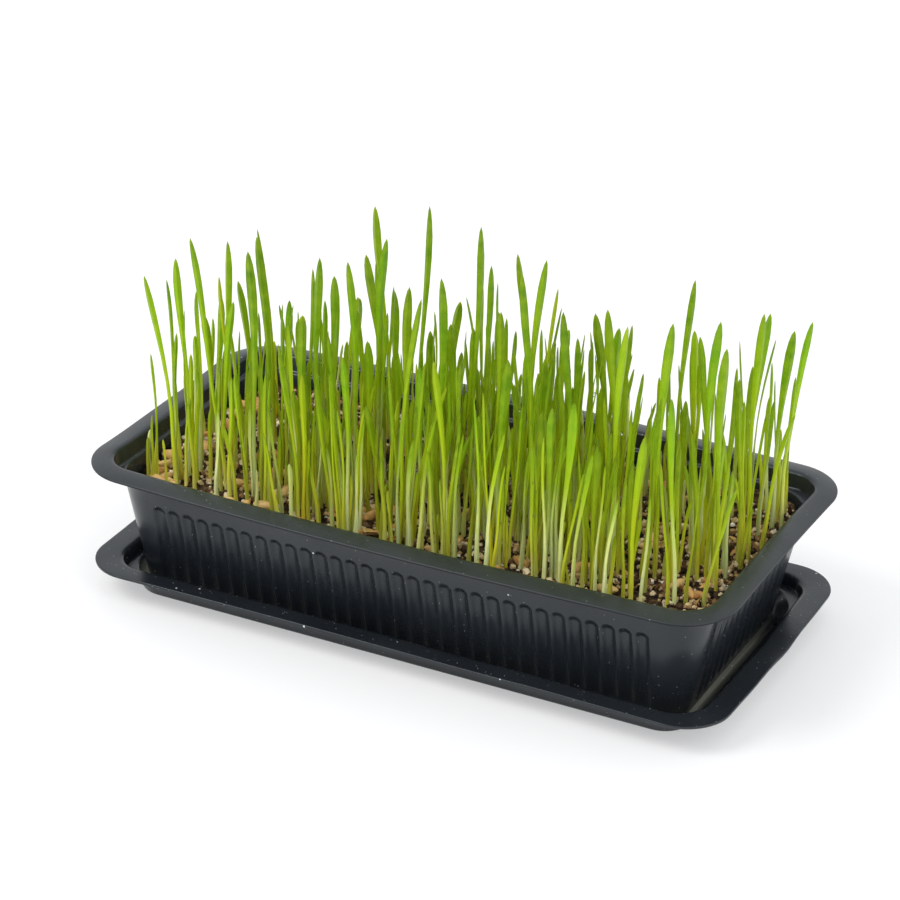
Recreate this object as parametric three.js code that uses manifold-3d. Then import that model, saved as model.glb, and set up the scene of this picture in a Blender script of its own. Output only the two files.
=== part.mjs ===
// Wheatgrass tray: young wheat grown in potting mix, in a black planter that stands in its drip saucer.
// Millimetres, +Z up. The origin is the middle of the saucer's underside, +X runs along the long side,
// and -Y is the front long side.
import * as THREE from 'three';
import { mergeVertices } from 'three/addons/utils/BufferGeometryUtils.js';
import Module from 'manifold-3d';

const wasm = await Module();
wasm.setup();

// Driving dimensions
const sheet = 0.9; // thickness of the formed plastic
const edge = 0.45; // rounding of a trimmed or folded edge of the plastic
const clearance = 0.35; // gap between pieces that rest on or in each other
const rim = { x: 100, y: 50, corner: 16, top: 41.3, flange: 6.8, bow: 3.2, bowEnds: -0.9 };
const mouth = { x: rim.x - rim.flange, y: rim.y - rim.flange, corner: 9 };
const ledge = { z: 36.6, corner: 12.5, inset: 0.7, step: 0.8 };
const planterFoot = { x: 85.3, y: 36.2, corner: 6.5, shift: -0.7, z: sheet + clearance, edge: 1.2 };
const saucerRim = { x: 99, y: 50, corner: 14, top: 9.3, bow: -1.1, bowEnds: 1 };
const saucerMouth = { x: 92, y: 43.8, corner: 10, bevel: 0.8 };
const saucerLedge = { x: 90.2, y: 42.8, corner: 8.6, z: 5.4, width: 0.8, wellCorner: 15 };
const saucerFoot = { x: 87, y: 40.4, corner: 9, edge: 1 };
const flute = { pitch: 4.85, width: 2.9, depth: 0.5, foot: 4.5, top: 29.8, slope: 1.4, long: 32, short: 11 };
const soil = { level: 33.4, step: 12, mound: 1.1, grain: 0.9, holeRadius: 4.85 };
const plug = { radius: 4.3, foot: 3.6, height: 6, below: 0.3, sides: 6 };
const blade = { base: 1.5, waist: 1.2, leaf: 3.2, peak: 0.86, thick: 0.9, sunk: 2, ring: 2.9, gap: 0.6 };
const kernel = { length: 6.6, width: 2.9, proud: 0.4 };
const cornerSteps = 3;
const longSteps = 6;
const shortSteps = 3;

// How a bunch grows: its count of blades, then each blade's height by kind, in mm over the mix
const growth = {
  fewest: 6, spare: 3, attempts: 14,
  sprout: { share: 0.2, least: 10, range: 14 },
  young: { share: 0.35, least: 26, range: 20 },
  tall: { least: 40, most: 62 },
};

// Where the grass thins out, in mm: towards both ends, and towards the back left
const thinning = { from: 40, to: 76, ends: 0.48, backFrom: -4, backTo: 16, leftFrom: 4, leftTo: 40, back: 0.58 };

// Grass bunches: root x and y, height of the tallest blade's tip above the table, and how far that tip
// leans along x. The rows run from the front long side to the back one.
const bunches = [
  [-76, -31, 97, -7], [-61, -28, 109, -11], [-48, -33, 111, -2], [-33, -31, 94, -1], [-18, -34, 87, -1],
  [-3, -32, 108, 6], [12, -34, 92, -3], [27, -31, 95, 1], [42, -33, 86, 2], [56, -32, 77, 0],
  [68, -34, 84, 2], [79, -30, 94, -4],
  [-81, -16, 96, -2], [-67, -13, 103, -2], [-53, -17, 109, -2], [-38, -15, 105, 0], [-24, -18, 107, -3],
  [-10, -16, 103, 2], [4, -18, 108, -3], [17, -15, 101, 2], [30, -17, 115, -3], [42, -15, 105, -4],
  [55, -18, 106, 2], [67, -16, 109, 2], [84, -15, 104, 0],
  [-83, 1, 72, -2], [-71, 4, 83, -4], [-56, 1, 82, -1], [-42, -1, 94, 2], [-28, 0, 108, 4],
  [-14, 1, 120, 2], [4, 0, 117, 0], [20, 1, 111, 4], [34, -1, 91, 1], [48, 1, 101, -4],
  [73, 0, 104, 3], [84, 2, 88, -2],
  [-62, 17, 70, 1], [-47, 16, 80, 4], [-33, 15, 95, -5], [-16, 17, 77, 1], [0, 15, 99, 0],
  [14, 17, 104, -5], [38, 15, 92, -4], [59, 16, 107, 2], [70, 17, 90, -7], [82, 14, 102, 0],
  [-40, 31, 103, -4], [-22, 33, 77, 4], [-4, 31, 78, 0], [14, 33, 76, 3], [30, 31, 81, 4],
  [58, 33, 84, -3], [72, 31, 95, 7], [84, 29, 96, 8],
];

// Wheat kernels that lie on the mix: x, y and heading in degrees.
const kernels = [
  [-85, -26, 60], [-82, 15, -15], [-47, -24, 20], [-64, -4, 40], [-40, 8, 95],
  [-16, -24, 75], [10, -9, 20], [36, -25, 80], [26, 20, 50],
  [48, -24, 85], [60, -3, 35], [76, -21, 75], [45, 29, 10], [-70, 31, 30],
];

const plastic = { color: 0x1c1f22, roughness: 0.42, metalness: 0 };
const looks = {
  planter: new THREE.MeshStandardMaterial({ ...plastic }),
  saucer: new THREE.MeshStandardMaterial({ ...plastic, roughness: 0.48 }),
  mix: new THREE.MeshStandardMaterial({ color: 0x4c3a29, roughness: 0.95, metalness: 0 }),
  grass: new THREE.MeshStandardMaterial({ color: 0x7fa62e, roughness: 0.55, metalness: 0 }),
};

// A repeatable draw from 0 to 1 that depends on three whole numbers only
function draw(a, b, c) {
  let h = Math.imul(a + 1, 0x9e3779b1) ^ Math.imul(b + 1, 0x85ebca6b) ^ Math.imul(c + 1, 0xc2b2ae35);
  h = Math.imul(h ^ (h >>> 15), 0x2c1b3c6d);
  h = Math.imul(h ^ (h >>> 12), 0x297a2d39);
  return ((h ^ (h >>> 15)) >>> 0) / 4294967296;
}

// Solids and meshes
function solidOf(geometry) {
  const bare = geometry.clone();
  bare.deleteAttribute('normal');
  bare.deleteAttribute('uv');
  const merged = mergeVertices(bare, 1e-4);
  return new wasm.Manifold(new wasm.Mesh({
    numProp: 3,
    vertProperties: new Float32Array(merged.attributes.position.array),
    triVerts: new Uint32Array(merged.index.array),
  }));
}

function meshOf(name, solid, material) {
  const made = solid.getMesh();
  const geometry = new THREE.BufferGeometry();
  geometry.setAttribute('position', new THREE.BufferAttribute(Float32Array.from(made.vertProperties), 3));
  geometry.setIndex(new THREE.BufferAttribute(Uint32Array.from(made.triVerts), 1));
  geometry.computeVertexNormals();
  const mesh = new THREE.Mesh(geometry, material);
  mesh.name = name;
  return mesh;
}

// A level outline: a rounded rectangle of half length x and half width y, whose sides bow in the middle,
// and which may be shifted along x
function outline({ x, y, corner, z, bow = 0, bowEnds = 0, shift = 0 }) {
  const points = [];
  for (let c = 0; c < 4; c += 1) {
    const cx = (c === 0 || c === 3 ? 1 : -1) * (x - corner);
    const cy = (c < 2 ? 1 : -1) * (y - corner);
    for (let k = 0; k <= cornerSteps; k += 1) {
      const angle = (c + k / cornerSteps) * Math.PI / 2;
      points.push([cx + corner * Math.cos(angle), cy + corner * Math.sin(angle)]);
    }
    const steps = c % 2 === 0 ? longSteps : shortSteps;
    for (let k = 1; k < steps; k += 1) {
      const along = 1 - 2 * k / steps;
      points.push(c % 2 === 0 ? [cx * along, Math.sign(cy) * y] : [Math.sign(cx) * x, cy * along]);
    }
  }
  return points.map(([px, py]) => new THREE.Vector3(
    px + px / x * bowEnds * Math.max(0, 1 - (py / y) ** 2) + shift,
    py + py / y * bow * Math.max(0, 1 - (px / x) ** 2),
    z,
  ));
}

// A closed skin through outlines of equal count, with a flat cap on the first and the last
function loft(rings) {
  const count = rings[0].length;
  const positions = rings.flat().flatMap((p) => [p.x, p.y, p.z]);
  const index = [];
  for (let r = 0; r + 1 < rings.length; r += 1) {
    // The diagonal leans the same way on the way up and down, so that nested walls stay parallel
    const up = rings[r + 1][0].z >= rings[r][0].z;
    for (let k = 0; k < count; k += 1) {
      const a = r * count + k;
      const b = r * count + (k + 1) % count;
      if (up) {
        index.push(a, b, b + count, a, b + count, a + count);
      } else {
        index.push(a, b, a + count, b, b + count, a + count);
      }
    }
  }
  const last = (rings.length - 1) * count;
  const flat = (ring) => ring.map((p) => new THREE.Vector2(p.x, p.y));
  for (const [a, b, c] of THREE.ShapeUtils.triangulateShape(flat(rings[0]), [])) {
    index.push(a, c, b);
  }
  for (const [a, b, c] of THREE.ShapeUtils.triangulateShape(flat(rings[rings.length - 1]), [])) {
    index.push(last + a, last + b, last + c);
  }
  const geometry = new THREE.BufferGeometry();
  geometry.setAttribute('position', new THREE.Float32BufferAttribute(positions, 3));
  geometry.setIndex(index);
  return geometry;
}

// Planter: its sides bow more towards the rim, and its foot stands a little to the left of its rim
function planterDrift(z) {
  const rise = Math.max(0, z - planterFoot.z) / (rim.top - planterFoot.z);
  return { bow: rim.bow * rise, bowEnds: rim.bowEnds * rise, shift: planterFoot.shift * (1 - rise) };
}

function planterRing(x, y, corner, z) {
  return outline({ x, y, corner, z, ...planterDrift(z) });
}

// Half sizes of the wall's outer face at a height below the ledge
function planterWall(z) {
  const foot = planterFoot;
  const t = (z - foot.z - foot.edge) / (ledge.z - foot.z - foot.edge);
  return {
    x: foot.x + (mouth.x - ledge.step - foot.x) * t,
    y: foot.y + (mouth.y - ledge.step - foot.y) * t,
    corner: foot.corner + (ledge.corner - foot.corner) * t,
  };
}

function planterShell() {
  const foot = planterFoot;
  const low = planterWall(foot.z + foot.edge);
  const high = planterWall(ledge.z);
  const floorTop = foot.z + sheet;
  const ring = (size, inset, z) => planterRing(size.x - inset, size.y - inset, size.corner - inset, z);
  return solidOf(loft([
    ring(foot, foot.edge, foot.z),
    ring(low, 0, foot.z + foot.edge),
    ring(high, 0, ledge.z - sheet),
    ring(mouth, -edge / 2, ledge.z),
    ring(mouth, -edge, rim.top - sheet),
    ring(rim, edge, rim.top - sheet),
    ring(rim, 0, rim.top - sheet / 2),
    ring(rim, edge, rim.top),
    ring(mouth, 0, rim.top),
    ring(mouth, edge, rim.top - edge),
    ring(mouth, ledge.inset, ledge.z + edge / 2),
    ring(high, sheet, ledge.z - edge / 2),
    ring(low, sheet, floorTop + sheet),
    ring(low, sheet * 2, floorTop),
  ]));
}

// One flute's cutter: a shallow trough up the wall, sloped at both ends
function fluteCutter(along, side, isLong) {
  const levels = [
    [flute.foot, flute.foot + flute.slope],
    [flute.top, flute.top - flute.slope],
  ];
  const bottomHalf = flute.width / 4;
  const mouthHalf = flute.width * 3 / 4;
  const rings = levels.map(([outerZ, innerZ]) => {
    const at = (z) => {
      const wall = planterWall(z);
      const { bow, bowEnds, shift } = planterDrift(z);
      return isLong
        ? wall.y + bow * (1 - ((along - shift) / wall.x) ** 2)
        : wall.x + bowEnds * (1 - (along / wall.y) ** 2) + side * shift;
    };
    const inner = at(innerZ) - flute.depth;
    const outer = at(outerZ) + flute.depth;
    const section = [
      [-bottomHalf, inner, innerZ],
      [-mouthHalf, outer, outerZ],
      [mouthHalf, outer, outerZ],
      [bottomHalf, inner, innerZ],
    ];
    return section.map(([u, v, z]) => (isLong
      ? new THREE.Vector3(along + u, side * v, z)
      : new THREE.Vector3(side * v, along + u, z)));
  });
  const turned = isLong === (side > 0);
  return solidOf(loft(turned ? rings.map((ring) => ring.slice().reverse()) : rings));
}

function planter() {
  const cutters = [];
  for (const side of [-1, 1]) {
    for (const isLong of [true, false]) {
      const count = isLong ? flute.long : flute.short;
      for (let k = 0; k < count; k += 1) {
        cutters.push(fluteCutter((k - (count - 1) / 2) * flute.pitch, side, isLong));
      }
    }
  }
  return cutters.reduce((shell, cutter) => shell.subtract(cutter), planterShell());
}

// Saucer
function saucer() {
  const top = saucerRim.top;
  const foot = saucerFoot;
  const shelf = saucerLedge;
  const ring = ({ x, y, corner }, inset, z) => outline({
    x: x - inset, y: y - inset, corner: corner - inset, z,
    bow: saucerRim.bow * z / top, bowEnds: saucerRim.bowEnds * z / top,
  });
  return solidOf(loft([
    ring(foot, foot.edge, 0),
    ring(foot, 0, foot.edge),
    ring(saucerMouth, -sheet, top - sheet),
    ring(saucerRim, edge, top - sheet),
    ring(saucerRim, 0, top - sheet / 2),
    ring(saucerRim, edge, top),
    ring(saucerMouth, 0, top),
    ring(saucerMouth, saucerMouth.bevel, top - saucerMouth.bevel),
    ring(shelf, 0, shelf.z + edge / 2),
    ring({ ...shelf, corner: shelf.wellCorner }, shelf.width, shelf.z),
    ring({ ...foot, corner: foot.corner + 2 * sheet }, sheet, foot.edge + sheet),
    ring({ ...foot, corner: foot.corner + 2 * sheet }, sheet + foot.edge, sheet),
  ]));
}

// Height of the potting mix: low mounds with a grain drawn at each crossing of the relief's grid
function soilTop(x, y) {
  const mounds = Math.sin(x * 0.055 + 1.1) * Math.cos(y * 0.09 + 0.4) + 0.6 * Math.sin(x * 0.13 + y * 0.11);
  return soil.level + soil.mound * mounds + 0.008 * x;
}

function reliefBlock() {
  const nx = 16;
  const ny = 8;
  const geometry = new THREE.BoxGeometry(nx * soil.step, ny * soil.step, 30, nx, ny, 1);
  const at = geometry.attributes.position;
  for (let i = 0; i < at.count; i += 1) {
    const x = at.getX(i);
    const y = at.getY(i);
    const column = Math.round(x / soil.step + nx / 2);
    const row = Math.round(y / soil.step + ny / 2);
    const top = soilTop(x, y) + soil.grain * (2 * draw(column, row, 7) - 1);
    at.setZ(i, at.getZ(i) > 0 ? top : 0);
  }
  return solidOf(geometry);
}

function kernelSolid([x, y, heading]) {
  const geometry = new THREE.SphereGeometry(1, 5, 3);
  geometry.rotateZ(Math.PI / 2);
  geometry.scale(kernel.length / 2, kernel.width / 2, kernel.width / 2);
  geometry.rotateZ(heading * Math.PI / 180);
  geometry.translate(x, y, soilTop(x, y) + kernel.proud);
  return solidOf(geometry);
}

function pottingMix() {
  const gap = sheet + clearance;
  const low = planterFoot.z + sheet + clearance;
  const floor = planterWall(low + planterFoot.edge);
  const neck = planterWall(ledge.z);
  const body = solidOf(loft([
    planterRing(floor.x - gap - sheet, floor.y - gap - sheet, floor.corner - gap, low),
    planterRing(floor.x - gap, floor.y - gap, floor.corner - gap, low + planterFoot.edge),
    planterRing(neck.x - gap, neck.y - gap, neck.corner - gap, ledge.z),
  ]));
  let mix = body.intersect(reliefBlock());
  for (const place of kernels) {
    mix = mix.add(kernelSolid(place));
  }
  for (const [x, y] of bunches) {
    const top = soilTop(x, y) - plug.below;
    const hole = new THREE.CylinderGeometry(soil.holeRadius, soil.holeRadius, plug.height + 10, plug.sides);
    hole.rotateX(Math.PI / 2);
    hole.translate(x, y, top - plug.height - clearance + (plug.height + 10) / 2);
    mix = mix.subtract(solidOf(hole));
  }
  return mix;
}

// Grass. A blade is a root point, a tip, a facing and a width share.
function spread(t) {
  return t * (0.45 + 0.55 * t);
}

function bladeCentre(b, t) {
  return new THREE.Vector3(b.x + b.leanX * spread(t), b.y + b.leanY * spread(t), b.z + b.height * t);
}

// Full width of the blade at a share t of its length
function bladeWidth(b, t) {
  if (t >= 1) return 0.2;
  const opened = Math.sin(Math.min(1, t / blade.peak) ** 3 * Math.PI / 2);
  const leaf = blade.waist + (blade.leaf * b.share - blade.waist) * opened;
  const past = Math.max(0, t - blade.peak) / (1 - blade.peak);
  const point = Math.max(0, 1 - past ** 2) ** 0.65;
  return Math.max(0.3, (t < 0.3 ? blade.base + (leaf - blade.base) * t / 0.3 : leaf) * point);
}

function bladeSolid(b) {
  const stops = b.height > 24 ? [0.36, blade.peak] : [0.6];
  const sheath = stops[0];
  // The sheath up to the first stop has flat sides and no twist, and above it the leaf flattens and turns
  const rings = [0, ...stops].map((t) => {
    const at = bladeCentre(b, t);
    const turn = b.facing + b.twist * Math.max(t - sheath, 0);
    const half = bladeWidth(b, t) / 2;
    const keel = t <= sheath ? half * 1.5 : blade.thick;
    const corners = [[-half, -keel * 0.35], [half, -keel * 0.35], [0, keel * 0.65]];
    return corners.map(([u, v]) => new THREE.Vector3(
      at.x + u * Math.cos(turn) - v * Math.sin(turn),
      at.y + u * Math.sin(turn) + v * Math.cos(turn),
      t === 0 ? b.z - blade.sunk : at.z,
    ));
  });
  const tip = bladeCentre(b, 1);
  const count = 3;
  const positions = [...rings.flat(), tip].flatMap((p) => [p.x, p.y, p.z]);
  const index = [0, 2, 1];
  for (let r = 0; r + 1 < rings.length; r += 1) {
    for (let k = 0; k < count; k += 1) {
      const a = r * count + k;
      const c = r * count + (k + 1) % count;
      index.push(a, c, c + count, a, c + count, a + count);
    }
  }
  const last = (rings.length - 1) * count;
  for (let k = 0; k < count; k += 1) {
    index.push(last + k, last + (k + 1) % count, rings.length * count);
  }
  const geometry = new THREE.BufferGeometry();
  geometry.setAttribute('position', new THREE.Float32BufferAttribute(positions, 3));
  geometry.setIndex(index);
  return solidOf(geometry);
}

// True where two blades come closer than their half widths, and a gap if their bunches differ
function tooClose(a, b) {
  const gap = a.bunch === b.bunch ? 0 : blade.gap;
  if (Math.hypot(a.x - b.x, a.y - b.y) > 40) return false;
  const low = Math.max(a.z, b.z);
  const high = Math.min(a.z + a.height, b.z + b.height);
  for (let z = low; z <= high; z += 4) {
    const ta = (z - a.z) / a.height;
    const tb = (z - b.z) / b.height;
    const pa = bladeCentre(a, ta);
    const pb = bladeCentre(b, tb);
    const apart = Math.hypot(pa.x - pb.x, pa.y - pb.y);
    if (apart < (bladeWidth(a, ta) + bladeWidth(b, tb)) / 2 + gap) return true;
  }
  return false;
}

// True where a blade touches the planter's inner wall or leans out past the rim
function leavesTray(b) {
  const tip = bladeCentre(b, 1);
  if (Math.abs(tip.x) > rim.x - 3 || Math.abs(tip.y) > rim.y - 3) return true;
  const atRim = bladeCentre(b, Math.min(1, (rim.top - b.z) / b.height));
  return Math.abs(atRim.x) > rim.x - rim.flange - 2.5 || Math.abs(atRim.y) > rim.y - rim.flange - 2.5;
}

function leadBlade([x, y, tip, lean], bunch) {
  const z = soilTop(x, y) - plug.below;
  return {
    bunch, x, y, z, height: tip - z, leanX: lean, leanY: 2 * draw(bunch, 0, 1) - 1,
    facing: 0.45 + 0.9 * (draw(bunch, 0, 2) - 0.5), twist: 0.8 * (draw(bunch, 0, 3) - 0.5),
    share: 0.72 + 0.36 * draw(bunch, 0, 4),
  };
}

// How thickly the grass stands at a place, as a share of the middle's
function thickness(x, y) {
  const { smoothstep } = THREE.MathUtils;
  const ends = 1 - thinning.ends * smoothstep(Math.abs(x), thinning.from, thinning.to);
  const left = smoothstep(-x, thinning.leftFrom, thinning.leftTo);
  return ends * (1 - thinning.back * left * smoothstep(y, thinning.backFrom, thinning.backTo));
}

function bladeCount(bunch) {
  const [x, y] = bunches[bunch];
  return Math.round((growth.fewest + growth.spare * draw(bunch, 99, 0)) * thickness(x, y));
}

// The height of a blade of a given kind, from a draw and the height of its lead blade
function bladeHeight(kind, share, lead) {
  const { sprout, young, tall } = growth;
  if (kind < sprout.share) return sprout.least + sprout.range * share;
  if (kind < sprout.share + young.share) return young.least + young.range * share;
  return tall.least + (Math.min(lead - 4, tall.most) - tall.least) * share;
}

// The other blades of a bunch stand in a ring round its lead blade, and lean outwards
function sideBlade([x, y, tip], bunch, number, attempt) {
  const d = (item) => draw(bunch, number, item + 20 * attempt);
  const angle = 2 * Math.PI * (number + draw(bunch, 0, 5) + 0.25 * d(1)) / (bladeCount(bunch) - 1);
  const radius = blade.ring + 0.4 * (d(2) - 0.5);
  const z = soilTop(x, y) - plug.below;
  const height = bladeHeight(draw(bunch, number, 900), d(3), tip - z) * (1 - 0.04 * attempt);
  const out = (0.6 + 5.4 * d(4)) * height / 60;
  return {
    bunch, z, height,
    x: x + radius * Math.cos(angle),
    y: y + radius * Math.sin(angle),
    leanX: out * Math.cos(angle) + 4 * (d(5) - 0.5) * height / 60,
    leanY: out * Math.sin(angle) + 3 * (d(6) - 0.5) * height / 60,
    facing: Math.PI * d(7), twist: 1.4 * (d(8) - 0.5),
    share: 0.36 + 0.34 * d(9) * Math.min(1, height / 45),
  };
}

function growBlades() {
  const grown = bunches.map(leadBlade);
  bunches.forEach((place, bunch) => {
    const count = bladeCount(bunch);
    for (let number = 1; number < count; number += 1) {
      for (let attempt = 0; attempt < growth.attempts; attempt += 1) {
        const b = sideBlade(place, bunch, number, attempt);
        if (!leavesTray(b) && !grown.some((other) => tooClose(b, other))) {
          grown.push(b);
          break;
        }
      }
    }
  });
  return grown;
}

function grassBunch([x, y], blades) {
  const top = soilTop(x, y) - plug.below;
  const roots = new THREE.CylinderGeometry(plug.radius, plug.foot, plug.height, plug.sides);
  roots.rotateX(Math.PI / 2);
  roots.translate(x, y, top - plug.height / 2);
  return blades.reduce((bunch, b) => bunch.add(bladeSolid(b)), solidOf(roots));
}

const tray = new THREE.Group();
tray.add(meshOf('planter_tray', planter(), looks.planter));
tray.add(meshOf('drip_saucer', saucer(), looks.saucer));
tray.add(meshOf('potting_mix', pottingMix(), looks.mix));
const grown = growBlades();
bunches.forEach((place, i) => {
  const name = `grass_bunch_${String(i + 1).padStart(2, '0')}`;
  tray.add(meshOf(name, grassBunch(place, grown.filter((b) => b.bunch === i)), looks.grass));
});

export default tray;
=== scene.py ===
import math
from contextlib import contextmanager

import bmesh
import bpy
import numpy as np
from mathutils import Matrix, Vector, noise


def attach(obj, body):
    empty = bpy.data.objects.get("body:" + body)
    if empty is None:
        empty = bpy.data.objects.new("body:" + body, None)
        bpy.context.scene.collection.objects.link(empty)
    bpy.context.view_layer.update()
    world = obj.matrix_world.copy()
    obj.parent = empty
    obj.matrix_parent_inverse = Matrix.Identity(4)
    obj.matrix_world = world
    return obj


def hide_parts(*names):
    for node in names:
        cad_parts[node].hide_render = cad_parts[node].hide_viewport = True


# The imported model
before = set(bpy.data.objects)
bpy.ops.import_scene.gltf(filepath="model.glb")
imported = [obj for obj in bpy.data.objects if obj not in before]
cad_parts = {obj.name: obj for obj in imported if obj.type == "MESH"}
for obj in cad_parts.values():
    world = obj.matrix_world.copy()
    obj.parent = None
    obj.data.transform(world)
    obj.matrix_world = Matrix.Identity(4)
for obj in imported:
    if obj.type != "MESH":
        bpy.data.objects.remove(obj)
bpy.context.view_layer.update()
MM = 0.001

# Driving dimensions in millimetres, as in the part's source
SHEET = 0.9
RIM = {"x": 99.85, "y": 50.0, "corner": 16.0, "top": 41.3}
PLANTER_BOW = {"sides": 3.15, "ends": -0.9}
MOUTH = {"x": 93.2, "y": 43.2, "corner": 9.0}
LEDGE = {"z": 36.6, "corner": 12.5, "step": 0.8}
RIM_DUST = 0.016
# The finished rim is crowned: its inner edge stands a little high and it bends down over its outer part
RIM_CROWN = {"lift": 0.42, "drop": 0.75, "reach": 5.0, "foot": 3.5, "fade": 2}
PLANTER_FOOT = {"x": 85.3, "y": 36.2, "corner": 6.5, "shift": -0.7, "z": 1.25, "edge": 1.2}
SAUCER_RIM = {"x": 98.85, "y": 49.9, "corner": 14.0, "top": 9.3}
SAUCER_BOW = {"sides": -1.1, "ends": 1.0}
SAUCER_MOUTH = {"x": 92.0, "y": 43.8, "corner": 10.0}
SAUCER_SHELF = {"x": 90.2, "y": 42.8, "corner": 8.6, "z": 5.4, "width": 0.8, "well": 15.0}
SAUCER_FOOT = {"x": 87.0, "y": 40.4, "corner": 9.0, "edge": 1.0}
FLUTE = {"pitch": 4.85, "width": 2.9, "depth": 0.78, "foot": 4.5, "top": 29.8, "soft": 1.75}
FLUTES_LONG = 32
FLUTES_SHORT = 11
# Heights of the rings that the flutes are pressed into, close together at the flutes' ends
FLUTED_LEVELS = (3.6, 4.1, 4.5, 4.9, 5.4, 6.0, 13, 21, 27.2, 27.9, 28.4, 28.8, 29.2, 29.55, 29.9, 30.2,
                 30.5, 31.5)
# The least stretch of a straight side that is kept outside its flutes, and the steps round a corner
SIDE_END = 0.5
CORNER_STEPS = 14
# Edges sharper than this many degrees stay sharp on a formed sheet
SHEET_EDGE = 55
SOIL = {"level": 33.4, "mound": 1.1, "slope": 0.008}
BLADE = {"base": 1.5, "waist": 1.2, "leaf": 3.2, "peak": 0.86, "ring": 2.9, "gap": 0.6, "below": 0.3}
GROWTH = {"fewest": 6, "spare": 3, "attempts": 14}
THINNING = {"from": 40, "to": 76, "ends": 0.48, "back_from": -4, "back_to": 16, "left_from": 4, "left_to": 40,
            "back": 0.58}

# Grass bunches: root x and y, height of the tallest blade's tip, and how far that tip leans along x
BUNCHES = [
    (-76, -31, 97, -7), (-61, -28, 109, -11), (-48, -33, 111, -2), (-33, -31, 94, -1), (-18, -34, 87, -1),
    (-3, -32, 108, 6), (12, -34, 92, -3), (27, -31, 95, 1), (42, -33, 86, 2), (56, -32, 77, 0),
    (68, -34, 84, 2), (79, -30, 94, -4),
    (-81, -16, 96, -2), (-67, -13, 103, -2), (-53, -17, 109, -2), (-38, -15, 105, 0), (-24, -18, 107, -3),
    (-10, -16, 103, 2), (4, -18, 108, -3), (17, -15, 101, 2), (30, -17, 115, -3), (42, -15, 105, -4),
    (55, -18, 106, 2), (67, -16, 109, 2), (84, -15, 104, 0),
    (-83, 1, 72, -2), (-71, 4, 83, -4), (-56, 1, 82, -1), (-42, -1, 94, 2), (-28, 0, 108, 4),
    (-14, 1, 120, 2), (4, 0, 117, 0), (20, 1, 111, 4), (34, -1, 91, 1), (48, 1, 101, -4),
    (73, 0, 104, 3), (84, 2, 88, -2),
    (-62, 17, 70, 1), (-47, 16, 80, 4), (-33, 15, 95, -5), (-16, 17, 77, 1), (0, 15, 99, 0),
    (14, 17, 104, -5), (38, 15, 92, -4), (59, 16, 107, 2), (70, 17, 90, -7), (82, 14, 102, 0),
    (-40, 31, 103, -4), (-22, 33, 77, 4), (-4, 31, 78, 0), (14, 33, 76, 3), (30, 31, 81, 4),
    (58, 33, 84, -3), (72, 31, 95, 7), (84, 29, 96, 8),
]

# Wheat kernels that lie on the mix: x, y and heading in degrees
KERNELS = [
    (-85, -26, 60), (-82, 15, -15), (-47, -24, 20), (-64, -4, 40), (-40, 8, 95),
    (-16, -24, 75), (10, -9, 20), (36, -25, 80), (26, 20, 50),
    (48, -24, 85), (60, -3, 35), (76, -21, 75), (45, 29, 10), (-70, 31, 30),
]

# More kernels, which only the finished look has: those that show between the stems
MORE_KERNELS = [
    (-86, -17, 12), (-82, -31, -10), (-77, -32, -28), (-60, -26, 30), (-45, -34, 18), (-54, -10, 0),
    (-84, 16, 80), (-17, -12, 85), (-86, 23, 20), (-38, -9, 80), (81, -25, -50), (60, -32, 10), (49, -23, 30),
]

# How many places are tried for kernels that lie anywhere, of which the right half keeps fewer, and for husks
STREWN_KERNELS = 130
STREWN_HUSKS = 60


# Repeatable draws. The middle number names what is drawn, so that no two rules share their draws
def draw(a, b, c):
    """A draw from 0 to 1 that depends on three whole numbers only, as in the part's source."""
    h = ((a + 1) * 0x9E3779B1 ^ (b + 1) * 0x85EBCA6B ^ (c + 1) * 0xC2B2AE35) & 0xFFFFFFFF
    h = ((h ^ (h >> 15)) * 0x2C1B3C6D) & 0xFFFFFFFF
    h = ((h ^ (h >> 12)) * 0x297A2D39) & 0xFFFFFFFF
    return (h ^ (h >> 15)) / 4294967296


def smooth(t):
    """Eases a share from 0 to 1, and holds it there outside."""
    t = min(1.0, max(0.0, t))
    return t * t * (3 - 2 * t)


def eased(value, start, stretch):
    """How far a value has come along a stretch that begins at a start, from 0 to 1."""
    return smooth((value - start) / stretch)


def wave(x, y, pace_x, pace_y, layer):
    """A slow random wave over the part, from about -1 to 1."""
    return noise.noise(Vector((x * pace_x, y * pace_y, layer)))


# Piece helpers
def clear_selection():
    bpy.ops.object.select_all(action="DESELECT")


@contextmanager
def edit_mode():
    """Edit mode with everything selected, left again afterwards."""
    bpy.ops.object.mode_set(mode="EDIT")
    bpy.ops.mesh.select_all(action="SELECT")
    yield
    bpy.ops.object.mode_set(mode="OBJECT")


def settle(piece, slot, material, *nodes):
    """Gives a finished piece its material and its body, and hides the CAD nodes that it stands for."""
    piece.data.materials.clear()
    piece.data.materials.append(material)
    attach(piece, "root")
    if nodes:
        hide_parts(*nodes)
    return piece


def soften(piece, degrees):
    """Smooth shading, with edges sharper than an angle kept."""
    clear_selection()
    piece.select_set(True)
    bpy.context.view_layer.objects.active = piece
    bpy.ops.object.shade_smooth_by_angle(angle=math.radians(degrees))


# Tray outlines
def side_marks(count, span, ends):
    """Places along one fluted side: close together at each flute's edges, then a few to the corner."""
    offsets = [-2.1, -1.75, -1.45, -1.15, -0.8, 0, 0.8, 1.15, 1.45, 1.75, 2.1, FLUTE["pitch"] / 2]
    marks = [-span]
    for k in range(count):
        middle = (k - (count - 1) / 2) * FLUTE["pitch"]
        marks += [middle + offset for offset in offsets]
    marks[-1] = span
    tail = [span + (k + 1) / (ends + 1) for k in range(ends)]
    return [-mark for mark in reversed(tail)] + marks + tail


def plain_marks(steps, span):
    return [span * (2 * k / steps - 1) for k in range(1, steps)]


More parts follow.
